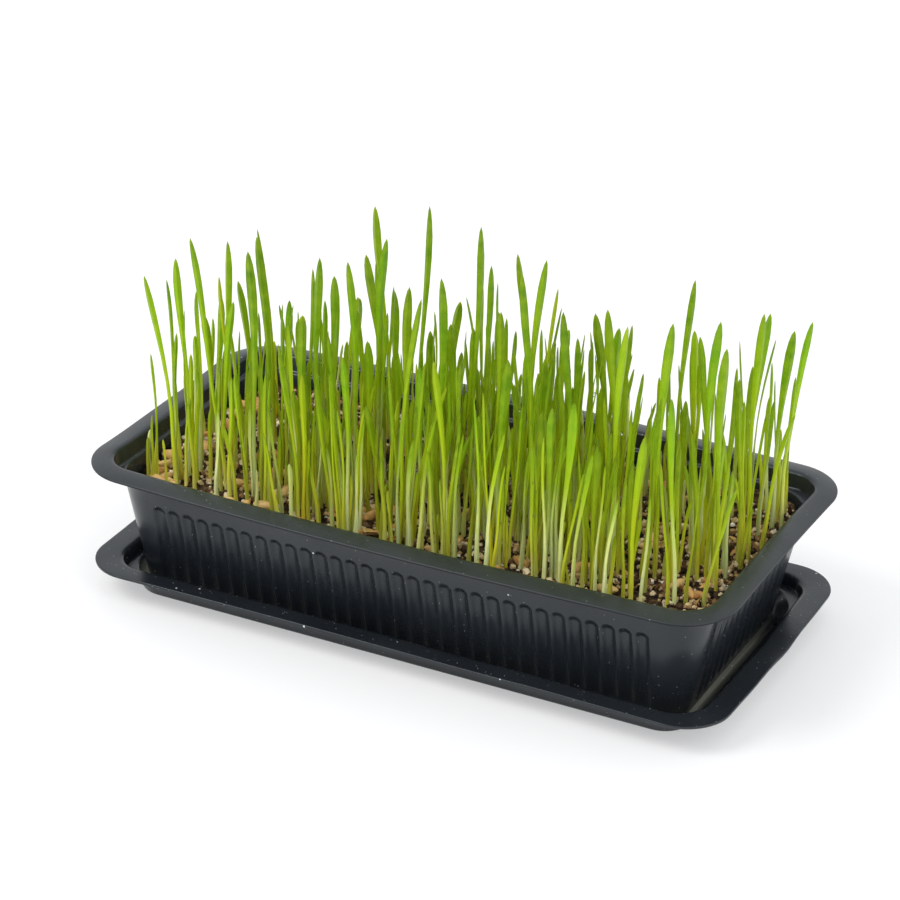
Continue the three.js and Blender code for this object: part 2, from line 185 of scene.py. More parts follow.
def round_stations(long_marks, short_marks, corner_steps):
    """The places round a tray's outline, anticlockwise from the right end of its back right corner."""
    stations = []
    for corner in range(4):
        stations += [("corner", corner, k / corner_steps) for k in range(corner_steps + 1)]
        marks = long_marks if corner % 2 == 0 else short_marks
        ordered = reversed(marks) if corner < 2 else marks
        stations += [("side", corner, mark) for mark in ordered]
    return stations


def side_place(mark, half, span):
    """Where a mark falls on a side whose straight stretch has this half length."""
    inner = min(span, half - SIDE_END)
    reach = abs(mark)
    if reach <= span:
        place = reach * inner / span
    else:
        place = inner + (half - inner) * (reach - span)
    return math.copysign(place, mark)


def outline_point(station, size, bow, rise, spans):
    kind, corner, value = station
    x, y, radius = size
    sign_x = 1 if corner in (0, 3) else -1
    sign_y = 1 if corner < 2 else -1
    if kind == "corner":
        angle = (corner + value) * math.pi / 2
        px = sign_x * (x - radius) + radius * math.cos(angle)
        py = sign_y * (y - radius) + radius * math.sin(angle)
    elif corner % 2 == 0:
        px = side_place(value, x - radius, spans[0])
        py = sign_y * y
    else:
        px = sign_x * x
        py = side_place(value, y - radius, spans[1])
    bowed_x = px + px / x * bow["ends"] * rise * max(0.0, 1 - (py / y) ** 2)
    bowed_y = py + py / y * bow["sides"] * rise * max(0.0, 1 - (px / x) ** 2)
    return bowed_x, bowed_y


def groove(station, count, z):
    """How deep a flute is at a place on the wall: a round-ended channel with soft edges."""
    kind, _, mark = station
    if kind == "corner":
        return 0.0
    half_count = (count - 1) / 2
    number = round(mark / FLUTE["pitch"] + half_count)
    if not 0 <= number < count:
        return 0.0
    across = mark - (number - half_count) * FLUTE["pitch"]
    end = FLUTE["width"] / 2
    past = max(0.0, z - (FLUTE["top"] - end), FLUTE["foot"] + end - z)
    inside = end - math.hypot(across, past)
    return FLUTE["depth"] * smooth(inside / FLUTE["soft"] + 0.5)


def drawn_sheet(name, stations, rings, point_at):
    """A plastic skin drawn out of a disc ring by ring: each ring is extruded, then brought to its outline.
    The last two items of a ring say how much dust has settled there, and how much painted shade darkens it: a
    near-black shadow line under the rim's edge."""
    clear_selection()
    bpy.ops.mesh.primitive_circle_add(vertices=len(stations), radius=0.1, fill_type="NGON")
    piece = bpy.context.object
    piece.name = name
    piece.data.name = name
    order = piece.data.attributes.new("station", "INT", "POINT")
    order.data.foreach_set("value", list(range(len(stations))))
    piece.data.attributes.new("settled_dust", "FLOAT", "POINT")
    piece.data.attributes.new("trimmed", "FLOAT", "POINT")
    with edit_mode():
        for number, ring in enumerate(rings):
            if number:
                bpy.ops.mesh.extrude_region_move()
            shape = bmesh.from_edit_mesh(piece.data)
            layer = shape.verts.layers.int["station"]
            dust = shape.verts.layers.float["settled_dust"]
            trimmed = shape.verts.layers.float["trimmed"]
            for vertex in shape.verts:
                if vertex.select:
                    vertex.co = Vector(point_at(stations[vertex[layer]], ring)) * MM
                    vertex[dust] = ring[-2]
                    vertex[trimmed] = ring[-1]
            bmesh.update_edit_mesh(piece.data)
    piece.data.attributes.remove(piece.data.attributes["station"])
    return piece


# Planter
def planter_rise(z):
    return max(0.0, z - PLANTER_FOOT["z"]) / (RIM["top"] - PLANTER_FOOT["z"])


def planter_shift(z):
    """How far left of the rim's middle the planter's outline stands at a height."""
    return PLANTER_FOOT["shift"] * (1 - planter_rise(z))


def planter_wall(z, inset=0.0):
    """Half sizes and corner of the wall's outer face at a height below the ledge."""
    start = PLANTER_FOOT["z"] + PLANTER_FOOT["edge"]
    t = (z - start) / (LEDGE["z"] - start)
    x = PLANTER_FOOT["x"] + (MOUTH["x"] - LEDGE["step"] - PLANTER_FOOT["x"]) * t
    y = PLANTER_FOOT["y"] + (MOUTH["y"] - LEDGE["step"] - PLANTER_FOOT["y"]) * t
    corner = PLANTER_FOOT["corner"] + (LEDGE["corner"] - PLANTER_FOOT["corner"]) * t
    return x - inset, y - inset, corner - inset


def inset_size(size, inset):
    return size["x"] - inset, size["y"] - inset, size["corner"] - inset


def size_between(first, second, t):
    return tuple(a + (b - a) * t for a, b in zip(first, second))


def rings_of(size, base, *rows):
    """Rings of a tray's section: each row is an inset from an outline and a height over a base."""
    return [(inset_size(size, inset), base + height) for inset, height in rows]


def wall_rings(*rows):
    """Rings on the planter's wall: each row is a height and an inset from the outer face."""
    return [(planter_wall(z, inset), z) for z, inset in rows]


def planter_rings():
    """The planter's section, from its underside up the outer wall, over the rim and down inside to its floor.
    Each ring is half sizes with a corner, and a height."""
    foot = PLANTER_FOOT["z"]
    ledge = LEDGE["z"]
    top = RIM["top"]
    start = foot + PLANTER_FOOT["edge"]
    high = planter_wall(ledge)
    return [
        *rings_of(PLANTER_FOOT, foot, (1.3, 0.0), (0.5, 0.15), (0.1, 0.6)),
        *wall_rings((start, 0.0), *((z, 0.0) for z in FLUTED_LEVELS)),
        *wall_rings((35.3, 0.0), (35.9, -0.15), (36.3, -0.55)),
        *rings_of(MOUTH, ledge, (-0.15, 0.1), (-0.28, 0.6)),
        *rings_of(MOUTH, top - SHEET, (-0.42, -0.5), (-0.6, -0.12), (-1.1, 0.0)),
        *rings_of(RIM, top - SHEET, (3.3, 0.0), (1.6, 0.0), (0.6, 0.0)),
        *rings_of(RIM, top - SHEET, (0.28, 0.06), (0.08, 0.22), (0.0, 0.5)),
        *rings_of(RIM, top, (0.0, -0.15), (0.04, -0.04), (0.15, -0.004), (0.45, 0.0), (1.2, 0.0), (2.2, 0.0),
                  (3.3, 0.0)),
        *rings_of(MOUTH, top, (-1.6, 0.0), (-0.75, -0.04), (-0.15, -0.3), (0.15, -0.8)),
        *rings_of(MOUTH, ledge, (0.55, 0.75), (0.75, 0.3)),
        ((high[0] - 0.35, high[1] - 0.35, high[2] - 1.0), ledge + 0.08),
        (planter_wall(ledge, SHEET - 0.12), ledge - 0.1),
        *wall_rings((36.1, SHEET), (33, SHEET)),
        (planter_wall(start, SHEET), foot + 2 * SHEET),
        (planter_wall(start, 2 * SHEET), foot + SHEET),
    ]


def rim_crown(size, z):
    """How far the rim's section is lifted at a ring, in mm, fading out down the wall under it."""
    share = max(0.0, 1 - (RIM["x"] - size[0]) / RIM_CROWN["reach"])
    fade = smooth((z - RIM["top"] + RIM_CROWN["foot"]) / RIM_CROWN["fade"])
    return fade * (RIM_CROWN["lift"] - RIM_CROWN["drop"] * share ** 1.5)


def rim_wander(x, y):
    """How far the trimmed rim strays from flat, in mm: a long low wave, as on thin formed plastic."""
    return 0.5 * wave(x, y, 0.021, 0.03, 3.0)


def build_planter(material):
    spans = (FLUTES_LONG * FLUTE["pitch"] / 2, FLUTES_SHORT * FLUTE["pitch"] / 2)
    stations = round_stations(
        side_marks(FLUTES_LONG, spans[0], 2), side_marks(FLUTES_SHORT, spans[1], 2), CORNER_STEPS
    )

    def point_at(station, ring):
        size, z = ring[:2]
        x, y = outline_point(station, size, PLANTER_BOW, planter_rise(z), spans)
        if station[1] % 2 == 0:
            y -= math.copysign(groove(station, FLUTES_LONG, z), y)
        else:
            x -= math.copysign(groove(station, FLUTES_SHORT, z), x)
        x += planter_shift(z)
        lift = rim_crown(size, z)
        if z > RIM["top"] - 1.5:
            z += min(0.0, rim_wander(x, y)) - 0.04
        return x, y, z + lift

    rings = []
    for size, z in planter_rings():
        on_rim = size[0] > MOUTH["x"] + 1 and z > RIM["top"] - SHEET / 2
        # Painted shade: the lower part of the rim's outer edge gets a near-black colour, standing in for the
        # shadow line under the flange's edge
        trimmed = size[0] > RIM["x"] - 0.3 and z < RIM["top"] - 0.3
        rings.append((size, z, RIM_DUST if on_rim else 0.0, 1.0 if trimmed else 0.0))
    planter = drawn_sheet("planter", stations, rings, point_at)
    soften(planter, SHEET_EDGE)
    return settle(planter, "planter_plastic", material, "planter_tray")


# Drip saucer
def saucer_rings():
    """The saucer's section, from its underside up and out to the rim, and down inside to its floor."""
    top = SAUCER_RIM["top"]
    shelf = SAUCER_SHELF
    foot = SAUCER_FOOT
    rise = top - SHEET - foot["edge"]
    bottom = inset_size(foot, 0.0)
    under_mouth = inset_size(SAUCER_MOUTH, -SHEET)
    well = (shelf["x"] - shelf["width"], shelf["y"] - shelf["width"], shelf["well"] - shelf["width"])
    floor = (foot["x"] - SHEET, foot["y"] - SHEET, foot["corner"] + SHEET)
    return [
        *rings_of(foot, 0.0, (1.4, 0.0), (0.6, 0.12), (0.12, 0.5), (0.0, foot["edge"])),
        *((size_between(bottom, under_mouth, t), foot["edge"] + rise * t) for t in (0.35, 0.7, 0.93)),
        *rings_of(SAUCER_MOUTH, top - SHEET, (-SHEET - 0.5, 0.0)),
        *rings_of(SAUCER_RIM, top - SHEET, (1.8, 0.0), (0.35, 0.0), (0.06, 0.14)),
        *rings_of(SAUCER_RIM, top, (0.0, -SHEET / 2), (0.0, -0.2), (0.05, -0.06), (0.19, -0.005), (0.5, 0.0),
                  (1.8, 0.0)),
        *rings_of(SAUCER_MOUTH, top, (-0.9, 0.0), (-0.3, -0.06), (0.35, -0.35), (0.8, -0.9)),
        *rings_of(shelf, shelf["z"], (-0.15, 0.6), (0.05, 0.15)),
        ((well[0] + 0.3, well[1] + 0.3, well[2] - 0.8), shelf["z"]),
        (well, shelf["z"] - 0.12),
        (tuple(size - 0.3 for size in well), shelf["z"] - 0.6),
        (size_between(well, floor, 0.5), (shelf["z"] + foot["edge"] + SHEET) / 2),
        (floor, foot["edge"] + SHEET),
        (tuple(size - 0.35 for size in floor), foot["edge"] + SHEET - 0.6),
        (tuple(size - 1.1 for size in floor), SHEET),
    ]


# Where the saucer's rim sags across its right end, how far along y and from what x on, and how deep
SAUCER_LOW = {"y": 3, "reach": 8, "x": 70, "over": 25, "depth": 0.7}

# The straight stretches of the saucer's sides, as half lengths
SAUCER_SPANS = (76.0, 34.0)

# The dust on the saucer's floor fades out towards the back, along y
DUST_FADE = {"from": 7.0, "over": 20.0}


def saucer_wander(x, y):
    """How far the saucer's rim strays from flat: a low warp across the right end shows most in the photo."""
    low = SAUCER_LOW
    warp = low["depth"] * math.exp(-((y - low["y"]) / low["reach"]) ** 2) * eased(x, low["x"], low["over"])
    return -abs(warp) + 0.3 * min(0.0, wave(x, y, 0.03, 0.03, 9.0))


def build_saucer(material):
    stations = round_stations(
        plain_marks(24, SAUCER_SPANS[0]), plain_marks(14, SAUCER_SPANS[1]), CORNER_STEPS
    )

    def point_at(station, ring):
        size, z = ring[:2]
        x, y = outline_point(station, size, SAUCER_BOW, z / SAUCER_RIM["top"], SAUCER_SPANS)
        if size[0] > SAUCER_RIM["x"] - 0.6:
            trim = 1 - 0.007 * max(0.0, wave(x, y, 0.05, 0.05, 2.0) + 0.05)
            x, y = x * trim, y * trim
        if z > SAUCER_RIM["top"] - 1.0:
            z += saucer_wander(x, y)
        return x, y, z

    rings = saucer_rings()
    settled = [0.0] * (len(rings) - 4) + [0.3, 1.0, 1.0, 1.0]
    dusty = [(*ring, dust, 0.0) for ring, dust in zip(rings, settled)]
    saucer = drawn_sheet("drip_saucer_formed", stations, dusty, point_at)
    layer = saucer.data.attributes["settled_dust"].data
    for item, vertex in zip(layer, saucer.data.vertices):
        item.value *= 1 - eased(vertex.co.y / MM, DUST_FADE["from"], DUST_FADE["over"])
    soften(saucer, SHEET_EDGE)
    return settle(saucer, "saucer_plastic", material, "drip_saucer")


# Potting mix
def mix_top(x, y):
    """Height of the potting mix at a place, as in the part's source."""
    mounds = math.sin(x * 0.055 + 1.1) * math.cos(y * 0.09 + 0.4) + 0.6 * math.sin(x * 0.13 + y * 0.11)
    return SOIL["level"] + SOIL["mound"] * mounds + SOIL["slope"] * x


def bed_top(x, y):
    """Height of the crumbly bed: the mix's mounds with clods and pits on them."""
    place = Vector((x, y, 0))
    clods = noise.noise(place * 0.16 + Vector((7, 0, 0)))
    crumbs = noise.noise(place * 0.55 + Vector((0, 5, 0)))
    pits = min(0.0, noise.noise(place * 0.3 + Vector((0, 0, 8))) + 0.12)
    return mix_top(x, y) + 0.9 * clods + 0.75 * crumbs + 3.2 * pits - 0.4


def mix_half_length(y, size):
    """Half length of the mix at a distance from its middle line, between the planter's round corners."""
    x, wall_y, corner = size
    past = abs(y) - (wall_y - corner)
    if past <= 0:
        return x
    return x - corner + math.sqrt(max(0.0, corner ** 2 - past ** 2))


def mix_place(across, along, level):
    """A place in the mix at a level, from shares of its half length and half width from -1 to 1."""
    size = planter_wall(level, SHEET + 0.12)
    rise = planter_rise(level)
    y = along * size[1]
    x = across * mix_half_length(y, size)
    bowed_x = x + x / size[0] * PLANTER_BOW["ends"] * rise * (1 - (y / size[1]) ** 2)
    bowed_y = y + y / size[1] * PLANTER_BOW["sides"] * rise * (1 - (x / size[0]) ** 2)
    return bowed_x + planter_shift(level), bowed_y


def build_bed(material):
    """The mix as a closed body: a grid with the bed's relief, whose border is drawn down to the floor."""
    clear_selection()
    bpy.ops.mesh.primitive_grid_add(x_subdivisions=250, y_subdivisions=112, size=2)
    bed = bpy.context.object
    bed.name = "potting_mix_bed"
    bed.data.name = bed.name
    bpy.ops.object.mode_set(mode="EDIT")
    shape = bmesh.from_edit_mesh(bed.data)
    share = shape.verts.layers.float_vector.new("share")
    for vertex in shape.verts:
        vertex[share] = vertex.co
        x, y = mix_place(vertex.co.x, vertex.co.y, SOIL["level"])
        top = bed_top(x, y)
        x, y = mix_place(vertex.co.x, vertex.co.y, min(top, SOIL["level"]))
        vertex.co = Vector((x, y, top)) * MM
    bpy.ops.mesh.select_all(action="DESELECT")
    for edge in shape.edges:
        edge.select = edge.is_boundary
    bmesh.update_edit_mesh(bed.data)
    for level in (20.0, 3.5):
        bpy.ops.mesh.extrude_edges_move()
        shape = bmesh.from_edit_mesh(bed.data)
        share = shape.verts.layers.float_vector["share"]
        for vertex in shape.verts:
            if vertex.select:
                x, y = mix_place(vertex[share].x, vertex[share].y, level)
                vertex.co = Vector((x, y, level)) * MM
        bmesh.update_edit_mesh(bed.data)
    bpy.ops.mesh.edge_face_add()
    bpy.ops.mesh.select_all(action="SELECT")
    bpy.ops.mesh.normals_make_consistent(inside=False)
    bpy.ops.object.mode_set(mode="OBJECT")
    bed.data.attributes.remove(bed.data.attributes["share"])
    soften(bed, 80)
    return settle(bed, "potting_mix", material, "potting_mix")


def mesh_arrays(piece):
    """A master shape's corners and faces, after which the master itself is removed."""
    corners = np.array([vertex.co[:] for vertex in piece.data.vertices])
    faces = [tuple(polygon.vertices) for polygon in piece.data.polygons]
    data = piece.data
    bpy.data.objects.remove(piece)
    bpy.data.meshes.remove(data)
    return corners, faces


def crumb_master(stretch, seed):
    """A rough lump: a low ball with its corners pushed in and out."""
    clear_selection()
    bpy.ops.mesh.primitive_ico_sphere_add(subdivisions=1, radius=1)
    lump = bpy.context.object
    for k, vertex in enumerate(lump.data.vertices):
        vertex.co *= 0.8 + 0.38 * draw(seed, k, 1)
        vertex.co.x *= stretch[0]
        vertex.co.y *= stretch[1]
        vertex.co.z *= stretch[2]
    return mesh_arrays(lump)


def flake_master(seed):
    """A golden granule: a lumpy block, flattened and narrower round its middle."""
    clear_selection()
    bpy.ops.mesh.primitive_cube_add(size=2)
    block = bpy.context.object
    with edit_mode():
        bpy.ops.mesh.subdivide(number_cuts=1)
    for k, vertex in enumerate(block.data.vertices):
        vertex.co *= (0.95 + 0.2 * draw(seed, k, 2)) / vertex.co.length ** 0.6
        waist = 1 - 0.22 * (1 - abs(vertex.co.z))
        vertex.co.x *= waist
        vertex.co.y *= 0.8 * waist
        vertex.co.z *= 0.62
    return mesh_arrays(block)


def kernel_master():
    """A wheat kernel: a long oval, blunter at one end, with a crease along one side."""
    clear_selection()
    bpy.ops.mesh.primitive_uv_sphere_add(segments=10, ring_count=7, radius=1)
    kernel = bpy.context.object
    with edit_mode():
        bpy.ops.transform.rotate(value=math.pi / 2, orient_axis="Y", center_override=(0, 0, 0))
    for vertex in kernel.data.vertices:
        x, y, z = vertex.co
        girth = 1 - 0.16 * x - 0.1 * x * x
        crease = 0.28 * math.exp(-((y / 0.22) ** 2)) if z < 0 else 0.0
        vertex.co = Vector((x * 3.2, y * 1.42 * girth, (z + crease) * 1.25 * girth))
    return mesh_arrays(kernel)


def husk_master():
    """An empty husk: a thin open boat, pointed at both ends."""
    clear_selection()
    bpy.ops.mesh.primitive_grid_add(x_subdivisions=8, y_subdivisions=4, size=2)
    husk = bpy.context.object
    for vertex in husk.data.vertices:
        x, y, _ = vertex.co
        beam = math.sqrt(max(0.0, 1 - abs(x) ** 2.2))
        vertex.co = Vector((x * 3.4, y * 1.35 * beam, 0.85 * y * y * beam + 0.35 * x * x))
    shell = husk.modifiers.new("thickness", "SOLIDIFY")
    shell.thickness = 0.16
    bpy.ops.object.modifier_apply(modifier=shell.name)
    with edit_mode():
        bpy.ops.mesh.remove_doubles(threshold=0.02)
        bpy.ops.mesh.normals_make_consistent(inside=False)
    return mesh_arrays(husk)


def heading_matrix(heading, pitch, roll):
    return Matrix.Rotation(heading, 3, "Z") @ Matrix.Rotation(pitch, 3, "Y") @ Matrix.Rotation(roll, 3, "X")


def strewn_piece(name, masters, places, slot, material, degrees):
    """One mesh of many copies. A place is a centre, a turn as a matrix, a size and a tone from 0 to 1."""
    corners, faces, tones = [], [], []
    start = 0
    for k, (centre, turn, size, tone) in enumerate(places):
        shape, shape_faces = masters[k % len(masters)]
        placed = shape @ np.array(turn).T * size + np.array(centre)
        corners.append(placed)
        faces += [tuple(start + i for i in face) for face in shape_faces]
        tones.append(np.full(len(placed), tone))
        start += len(placed)
    mesh = bpy.data.meshes.new(name)
    mesh.from_pydata((np.concatenate(corners) * MM).tolist(), [], faces)
    tone = mesh.attributes.new("tone", "FLOAT", "POINT")
    tone.data.foreach_set("value", np.concatenate(tones))
    piece = bpy.data.objects.new(name, mesh)
    bpy.context.scene.collection.objects.link(piece)
    soften(piece, degrees)
    return settle(piece, slot, material)


def mix_spot(item, kind, margin):
    """A random place on the mix, clear of the planter's wall by a margin."""
    size = planter_wall(SOIL["level"], SHEET + margin)
    y = (2 * draw(item, kind, 1) - 1) * size[1]
    x = (2 * draw(item, kind, 2) - 1) * (mix_half_length(y, size) - 0.6)
    return x, y


def strew(count, kind, least, range_, sink, margin):
    """Places for loose bits: most are small, and each sinks a share of its size into the bed."""
    places = []
    for item in range(count):
        x, y = mix_spot(item, kind, margin)
        size = least + range_ * draw(item, kind, 3) ** 2
        turn = heading_matrix(
            math.tau * draw(item, kind, 4), math.pi * draw(item, kind, 5), math.pi * draw(item, kind, 6)
        )
        z = bed_top(x, y) + size * (0.35 - sink)
        places.append(((x, y, z), turn, size, draw(item, kind, 7)))
    return places


def build_loose_mix(materials):
    crumbs = [crumb_master((1.0, 0.8, 0.7), seed) for seed in (11, 12, 13, 14)]
    slivers = [crumb_master((2.3, 0.6, 0.42), seed) for seed in (21, 22, 23)]
    flakes = [flake_master(seed) for seed in (31, 32, 33, 34)]
    for name, masters, material, edge, *scatter in (
        ("dark_crumbs", crumbs, "crumb", 50, 2000, 101, 0.45, 1.0, 0.3, 0.9),
        ("bark_slivers", slivers, "bark", 50, 330, 102, 0.6, 0.9, 0.2, 2.2),
        ("golden_granules", flakes, "granule", 35, 2700, 103, 0.55, 0.85, 0.12, 1.4),
        ("pale_granules", crumbs, "pale", 35, 1200, 104, 0.35, 0.75, 0.1, 1.2),
    ):
        strewn_piece(name, masters, strew(*scatter), "potting_mix", materials[material], edge)


def lying_turn(item, kind, tip):
    """The turn of a bit that lies down at any heading, tipped by up to half an angle either way."""
    heading = math.tau * draw(item, kind, 4)
    return heading_matrix(heading, tip * (draw(item, kind, 5) - 0.5), math.tau * draw(item, kind, 6))


def placed_turn(item, kind, heading, tip):
    """The same for a bit whose heading is given in degrees."""
    roll = math.tau * draw(item, kind, 2)
    return heading_matrix(math.radians(heading), tip * (draw(item, kind, 1) - 0.5), roll)


def build_kernels(material):
    """The kernels of the part's source, with more between them, and husks that the sprouts have shed."""
    places = []
    for k, (x, y, heading) in enumerate(KERNELS):
        turn = placed_turn(k, 201, heading, 0.3)
        places.append(((x, y, mix_top(x, y) + 0.6), turn, 1.0, draw(k, 201, 3)))
    for k, (x, y, heading) in enumerate(MORE_KERNELS):
        turn = placed_turn(k, 204, heading, 0.2)
        z = max(bed_top(x, y), mix_top(x, y)) + 0.9
        places.append(((x, y, z), turn, 1.08, 0.5 + 0.5 * draw(k, 204, 3)))
    for item in range(STREWN_KERNELS):
        x, y = mix_spot(item, 202, 3.4)
        if x > -10 and draw(item, 202, 9) > 0.35:
            continue
        size = 0.85 + 0.25 * draw(item, 202, 7)
        places.append(((x, y, bed_top(x, y) + 0.7), lying_turn(item, 202, 0.9), size, draw(item, 202, 8)))
    strewn_piece("wheat_kernels", [kernel_master()], places, "potting_mix", material, 60)
    husks = []
    for item in range(STREWN_HUSKS):
        x, y = mix_spot(item, 203, 3.0)
        size = 0.7 + 0.35 * draw(item, 203, 7)
        husks.append(((x, y, bed_top(x, y) + 0.8), lying_turn(item, 203, 1.2), size, draw(item, 203, 8)))
    strewn_piece("empty_husks", [husk_master()], husks, "potting_mix", material, 60)


# Grass: a blade is a root point, a lean, a facing and a width share, by the same rule as in the part's source
def spread(t):
    return t * (0.45 + 0.55 * t)


def blade_widths(share, t):
    """Full widths at shares t of the length, for width shares that may be arrays."""
    opened = np.sin(np.clip(t / BLADE["peak"], 0, 1) ** 3 * np.pi / 2)
    leaf = BLADE["waist"] + (BLADE["leaf"] * share - BLADE["waist"]) * opened
    past = np.maximum(0.0, t - BLADE["peak"]) / (1 - BLADE["peak"])
    point = np.maximum(0.0, 1 - past ** 2) ** 0.65
    foot = BLADE["base"] + (leaf - BLADE["base"]) * t / 0.3
    width = np.maximum(0.3, np.where(t < 0.3, foot, leaf) * point)
    return np.where(t >= 1, 0.2, width)


# New blades are tried against those that stand within a distance, at levels a step apart
NEIGHBOURS = {"within": 40, "step": 4.0, "levels": 26}

# How far out a tip may lean, and how far out a blade may be where it passes the rim
TIP_LIMIT = {"x": 97, "y": 47}
RIM_LIMIT = {"x": 90.7, "y": 40.7}


class Stand:
    """The blades that stand so far, kept as one table so that a new blade is tried against all at once."""

    FIELDS = ("bunch", "x", "y", "z", "height", "lean_x", "lean_y", "share")

    def __init__(self):
        self.blades = []
        self.rows = np.empty((0, len(self.FIELDS)))

    def add(self, blade):
        self.blades.append(blade)
        self.rows = np.vstack([self.rows, [blade[field] for field in self.FIELDS]])

    def is_clear(self, blade, gap_in_bunch, gap_to_others):
        """False where the blade comes closer to another than their half widths and a gap."""
        bunch, x, y, z, height, lean_x, lean_y, share = self.rows.T
        near = np.hypot(x - blade["x"], y - blade["y"]) <= NEIGHBOURS["within"]
        low = np.maximum(z, blade["z"])[:, None]
        high = np.minimum(z + height, blade["z"] + blade["height"])[:, None]
        level = low + NEIGHBOURS["step"] * np.arange(NEIGHBOURS["levels"])[None, :]
        counts = (level <= high) & near[:, None]
        ta = (level - blade["z"]) / blade["height"]
        tb = (level - z[:, None]) / height[:, None]
        apart = np.hypot(
            blade["x"] + blade["lean_x"] * spread(ta) - x[:, None] - lean_x[:, None] * spread(tb),
            blade["y"] + blade["lean_y"] * spread(ta) - y[:, None] - lean_y[:, None] * spread(tb),
        )
        gap = np.where(bunch == blade["bunch"], gap_in_bunch, gap_to_others)[:, None]
        need = (blade_widths(blade["share"], ta) + blade_widths(share[:, None], tb)) / 2 + gap
        return not np.any(counts & (apart < need))


def leaves_tray(blade):
    """True where a blade touches the planter's inner wall or leans out past the rim."""
    at_rim = spread(min(1.0, (RIM["top"] - blade["z"]) / blade["height"]))
    return any(
        abs(blade[axis] + blade["lean_" + axis] * share) > limit[axis]
        for share, limit in ((1, TIP_LIMIT), (at_rim, RIM_LIMIT)) for axis in ("x", "y")
    )


def lead_blade(place, bunch):
    x, y, tip, lean = place
    z = mix_top(x, y) - BLADE["below"]
    return {
        "bunch": bunch, "x": x, "y": y, "z": z, "height": tip - z,
        "lean_x": lean, "lean_y": 2 * draw(bunch, 0, 1) - 1,
        "facing": 0.45 + 0.9 * (draw(bunch, 0, 2) - 0.5), "twist": 0.8 * (draw(bunch, 0, 3) - 0.5),
        "share": 0.72 + 0.36 * draw(bunch, 0, 4), "slim": SINGLE_SLIM,
    }


def thickness(x, y):
    """How thickly the grass stands at a place, as a share of the middle's."""
    ends = 1 - THINNING["ends"] * eased(abs(x), THINNING["from"], THINNING["to"] - THINNING["from"])
    left = eased(-x, THINNING["left_from"], THINNING["left_to"] - THINNING["left_from"])
    back = eased(y, THINNING["back_from"], THINNING["back_to"] - THINNING["back_from"])
    return ends * (1 - THINNING["back"] * left * back)


def blade_count(bunch):
    x, y = BUNCHES[bunch][:2]
    return math.floor((GROWTH["fewest"] + GROWTH["spare"] * draw(bunch, 99, 0)) * thickness(x, y) + 0.5)


# Heights in a bunch, as in the part's source: sprouts and young blades up to these draws, and tall blades
SPROUTS = {"up_to": 0.2, "least": 10, "more": 14}
YOUNG = {"up_to": 0.55, "least": 26, "more": 20}
TALL = {"least": 40, "most": 62, "under": 4}


def blade_height(kind, share, lead):
    """The height of a sprout, a young blade or a tall one, which stays under its lead."""
    if kind < SPROUTS["up_to"]:
        return SPROUTS["least"] + SPROUTS["more"] * share
    if kind < YOUNG["up_to"]:
        return YOUNG["least"] + YOUNG["more"] * share
    return TALL["least"] + (min(lead - TALL["under"], TALL["most"]) - TALL["least"]) * share


def side_blade(place, bunch, number, attempt):
    x, y, tip, _ = place

    def d(item):
        return draw(bunch, number, item + 20 * attempt)

    angle = 2 * math.pi * (number + draw(bunch, 0, 5) + 0.25 * d(1)) / (blade_count(bunch) - 1)
    radius = BLADE["ring"] + 0.4 * (d(2) - 0.5)
    z = mix_top(x, y) - BLADE["below"]
    height = blade_height(draw(bunch, number, 900), d(3), tip - z) * (1 - 0.04 * attempt)
    out = (0.6 + 5.4 * d(4)) * height / 60
    return {
        "bunch": bunch, "x": x + radius * math.cos(angle), "y": y + radius * math.sin(angle), "z": z,
        "height": height,
        "lean_x": out * math.cos(angle) + 4 * (d(5) - 0.5) * height / 60,
        "lean_y": out * math.sin(angle) + 3 * (d(6) - 0.5) * height / 60,
        "facing": math.pi * d(7), "twist": 1.4 * (d(8) - 0.5),
        "share": 0.36 + 0.34 * d(9) * min(1, height / 45), "slim": SLIM,
    }


def grow_bunches(stand):
    for bunch, place in enumerate(BUNCHES):
        stand.add(lead_blade(place, bunch))
    for bunch, place in enumerate(BUNCHES):
        for number in range(1, blade_count(bunch)):
            for attempt in range(GROWTH["attempts"]):
                blade = side_blade(place, bunch, number, attempt)
                if not leaves_tray(blade) and stand.is_clear(blade, 0, BLADE["gap"]):
                    stand.add(blade)
                    break


# Beads of water on the leaves: where along x they gather and how far round it, the share of blades there that
# bear them, their half width, and how far they stand off the leaf's middle
DROPS = {"x": 34, "reach": 38, "share": 0.13, "least": 0.3, "range": 0.28, "stand_off": 0.34}

# The finished side blades of a bunch are drawn this much slimmer than the solids, which need their thickness,
# and the leads and single blades only a little
SLIM = 0.8
SINGLE_SLIM = 0.96

# Below its leaf a tall finished blade is slimmer still: where along it, over what stretch, by what share,
# and from what height on
NECK = {"place": 0.52, "reach": 0.2, "depth": 0.2, "from": 42, "over": 18}

# Blades between the bunches, which only the finished look has
LOOSE_TRIES = 1800
LOOSE_BUNCH = 1000
# Their heights: up to what draw, the least height and the range above it
LOOSE_HEIGHTS = [(0.25, 8, 20), (0.6, 26, 16), (1.0, 38, 22)]
# They keep clear of other blades by this gap: a little overlap of their widest parts is let through
LOOSE_GAP = -0.25
# Some of them have a broad leaf: how often, and by how much of the full width
BROAD = {"often": 0.24, "more": 0.32}

# The single blades are joined in this many pieces, by strips across the tray
STRIPS = 6

# Spots where the single blades are missing or crowded: x, y, radius, and how many grow there as a share
SPOTS = [
    (-13, -22, 7, 0), (-24, -13, 7, 0), (-48, -24, 7, 0), (22, -27, 5, 0), (57, -24, 6, 0), (45, -30, 5, 0),
    (58, 12, 18, 0.4), (74, -7, 8, 2.2), (-74, -26, 6, 3),
]

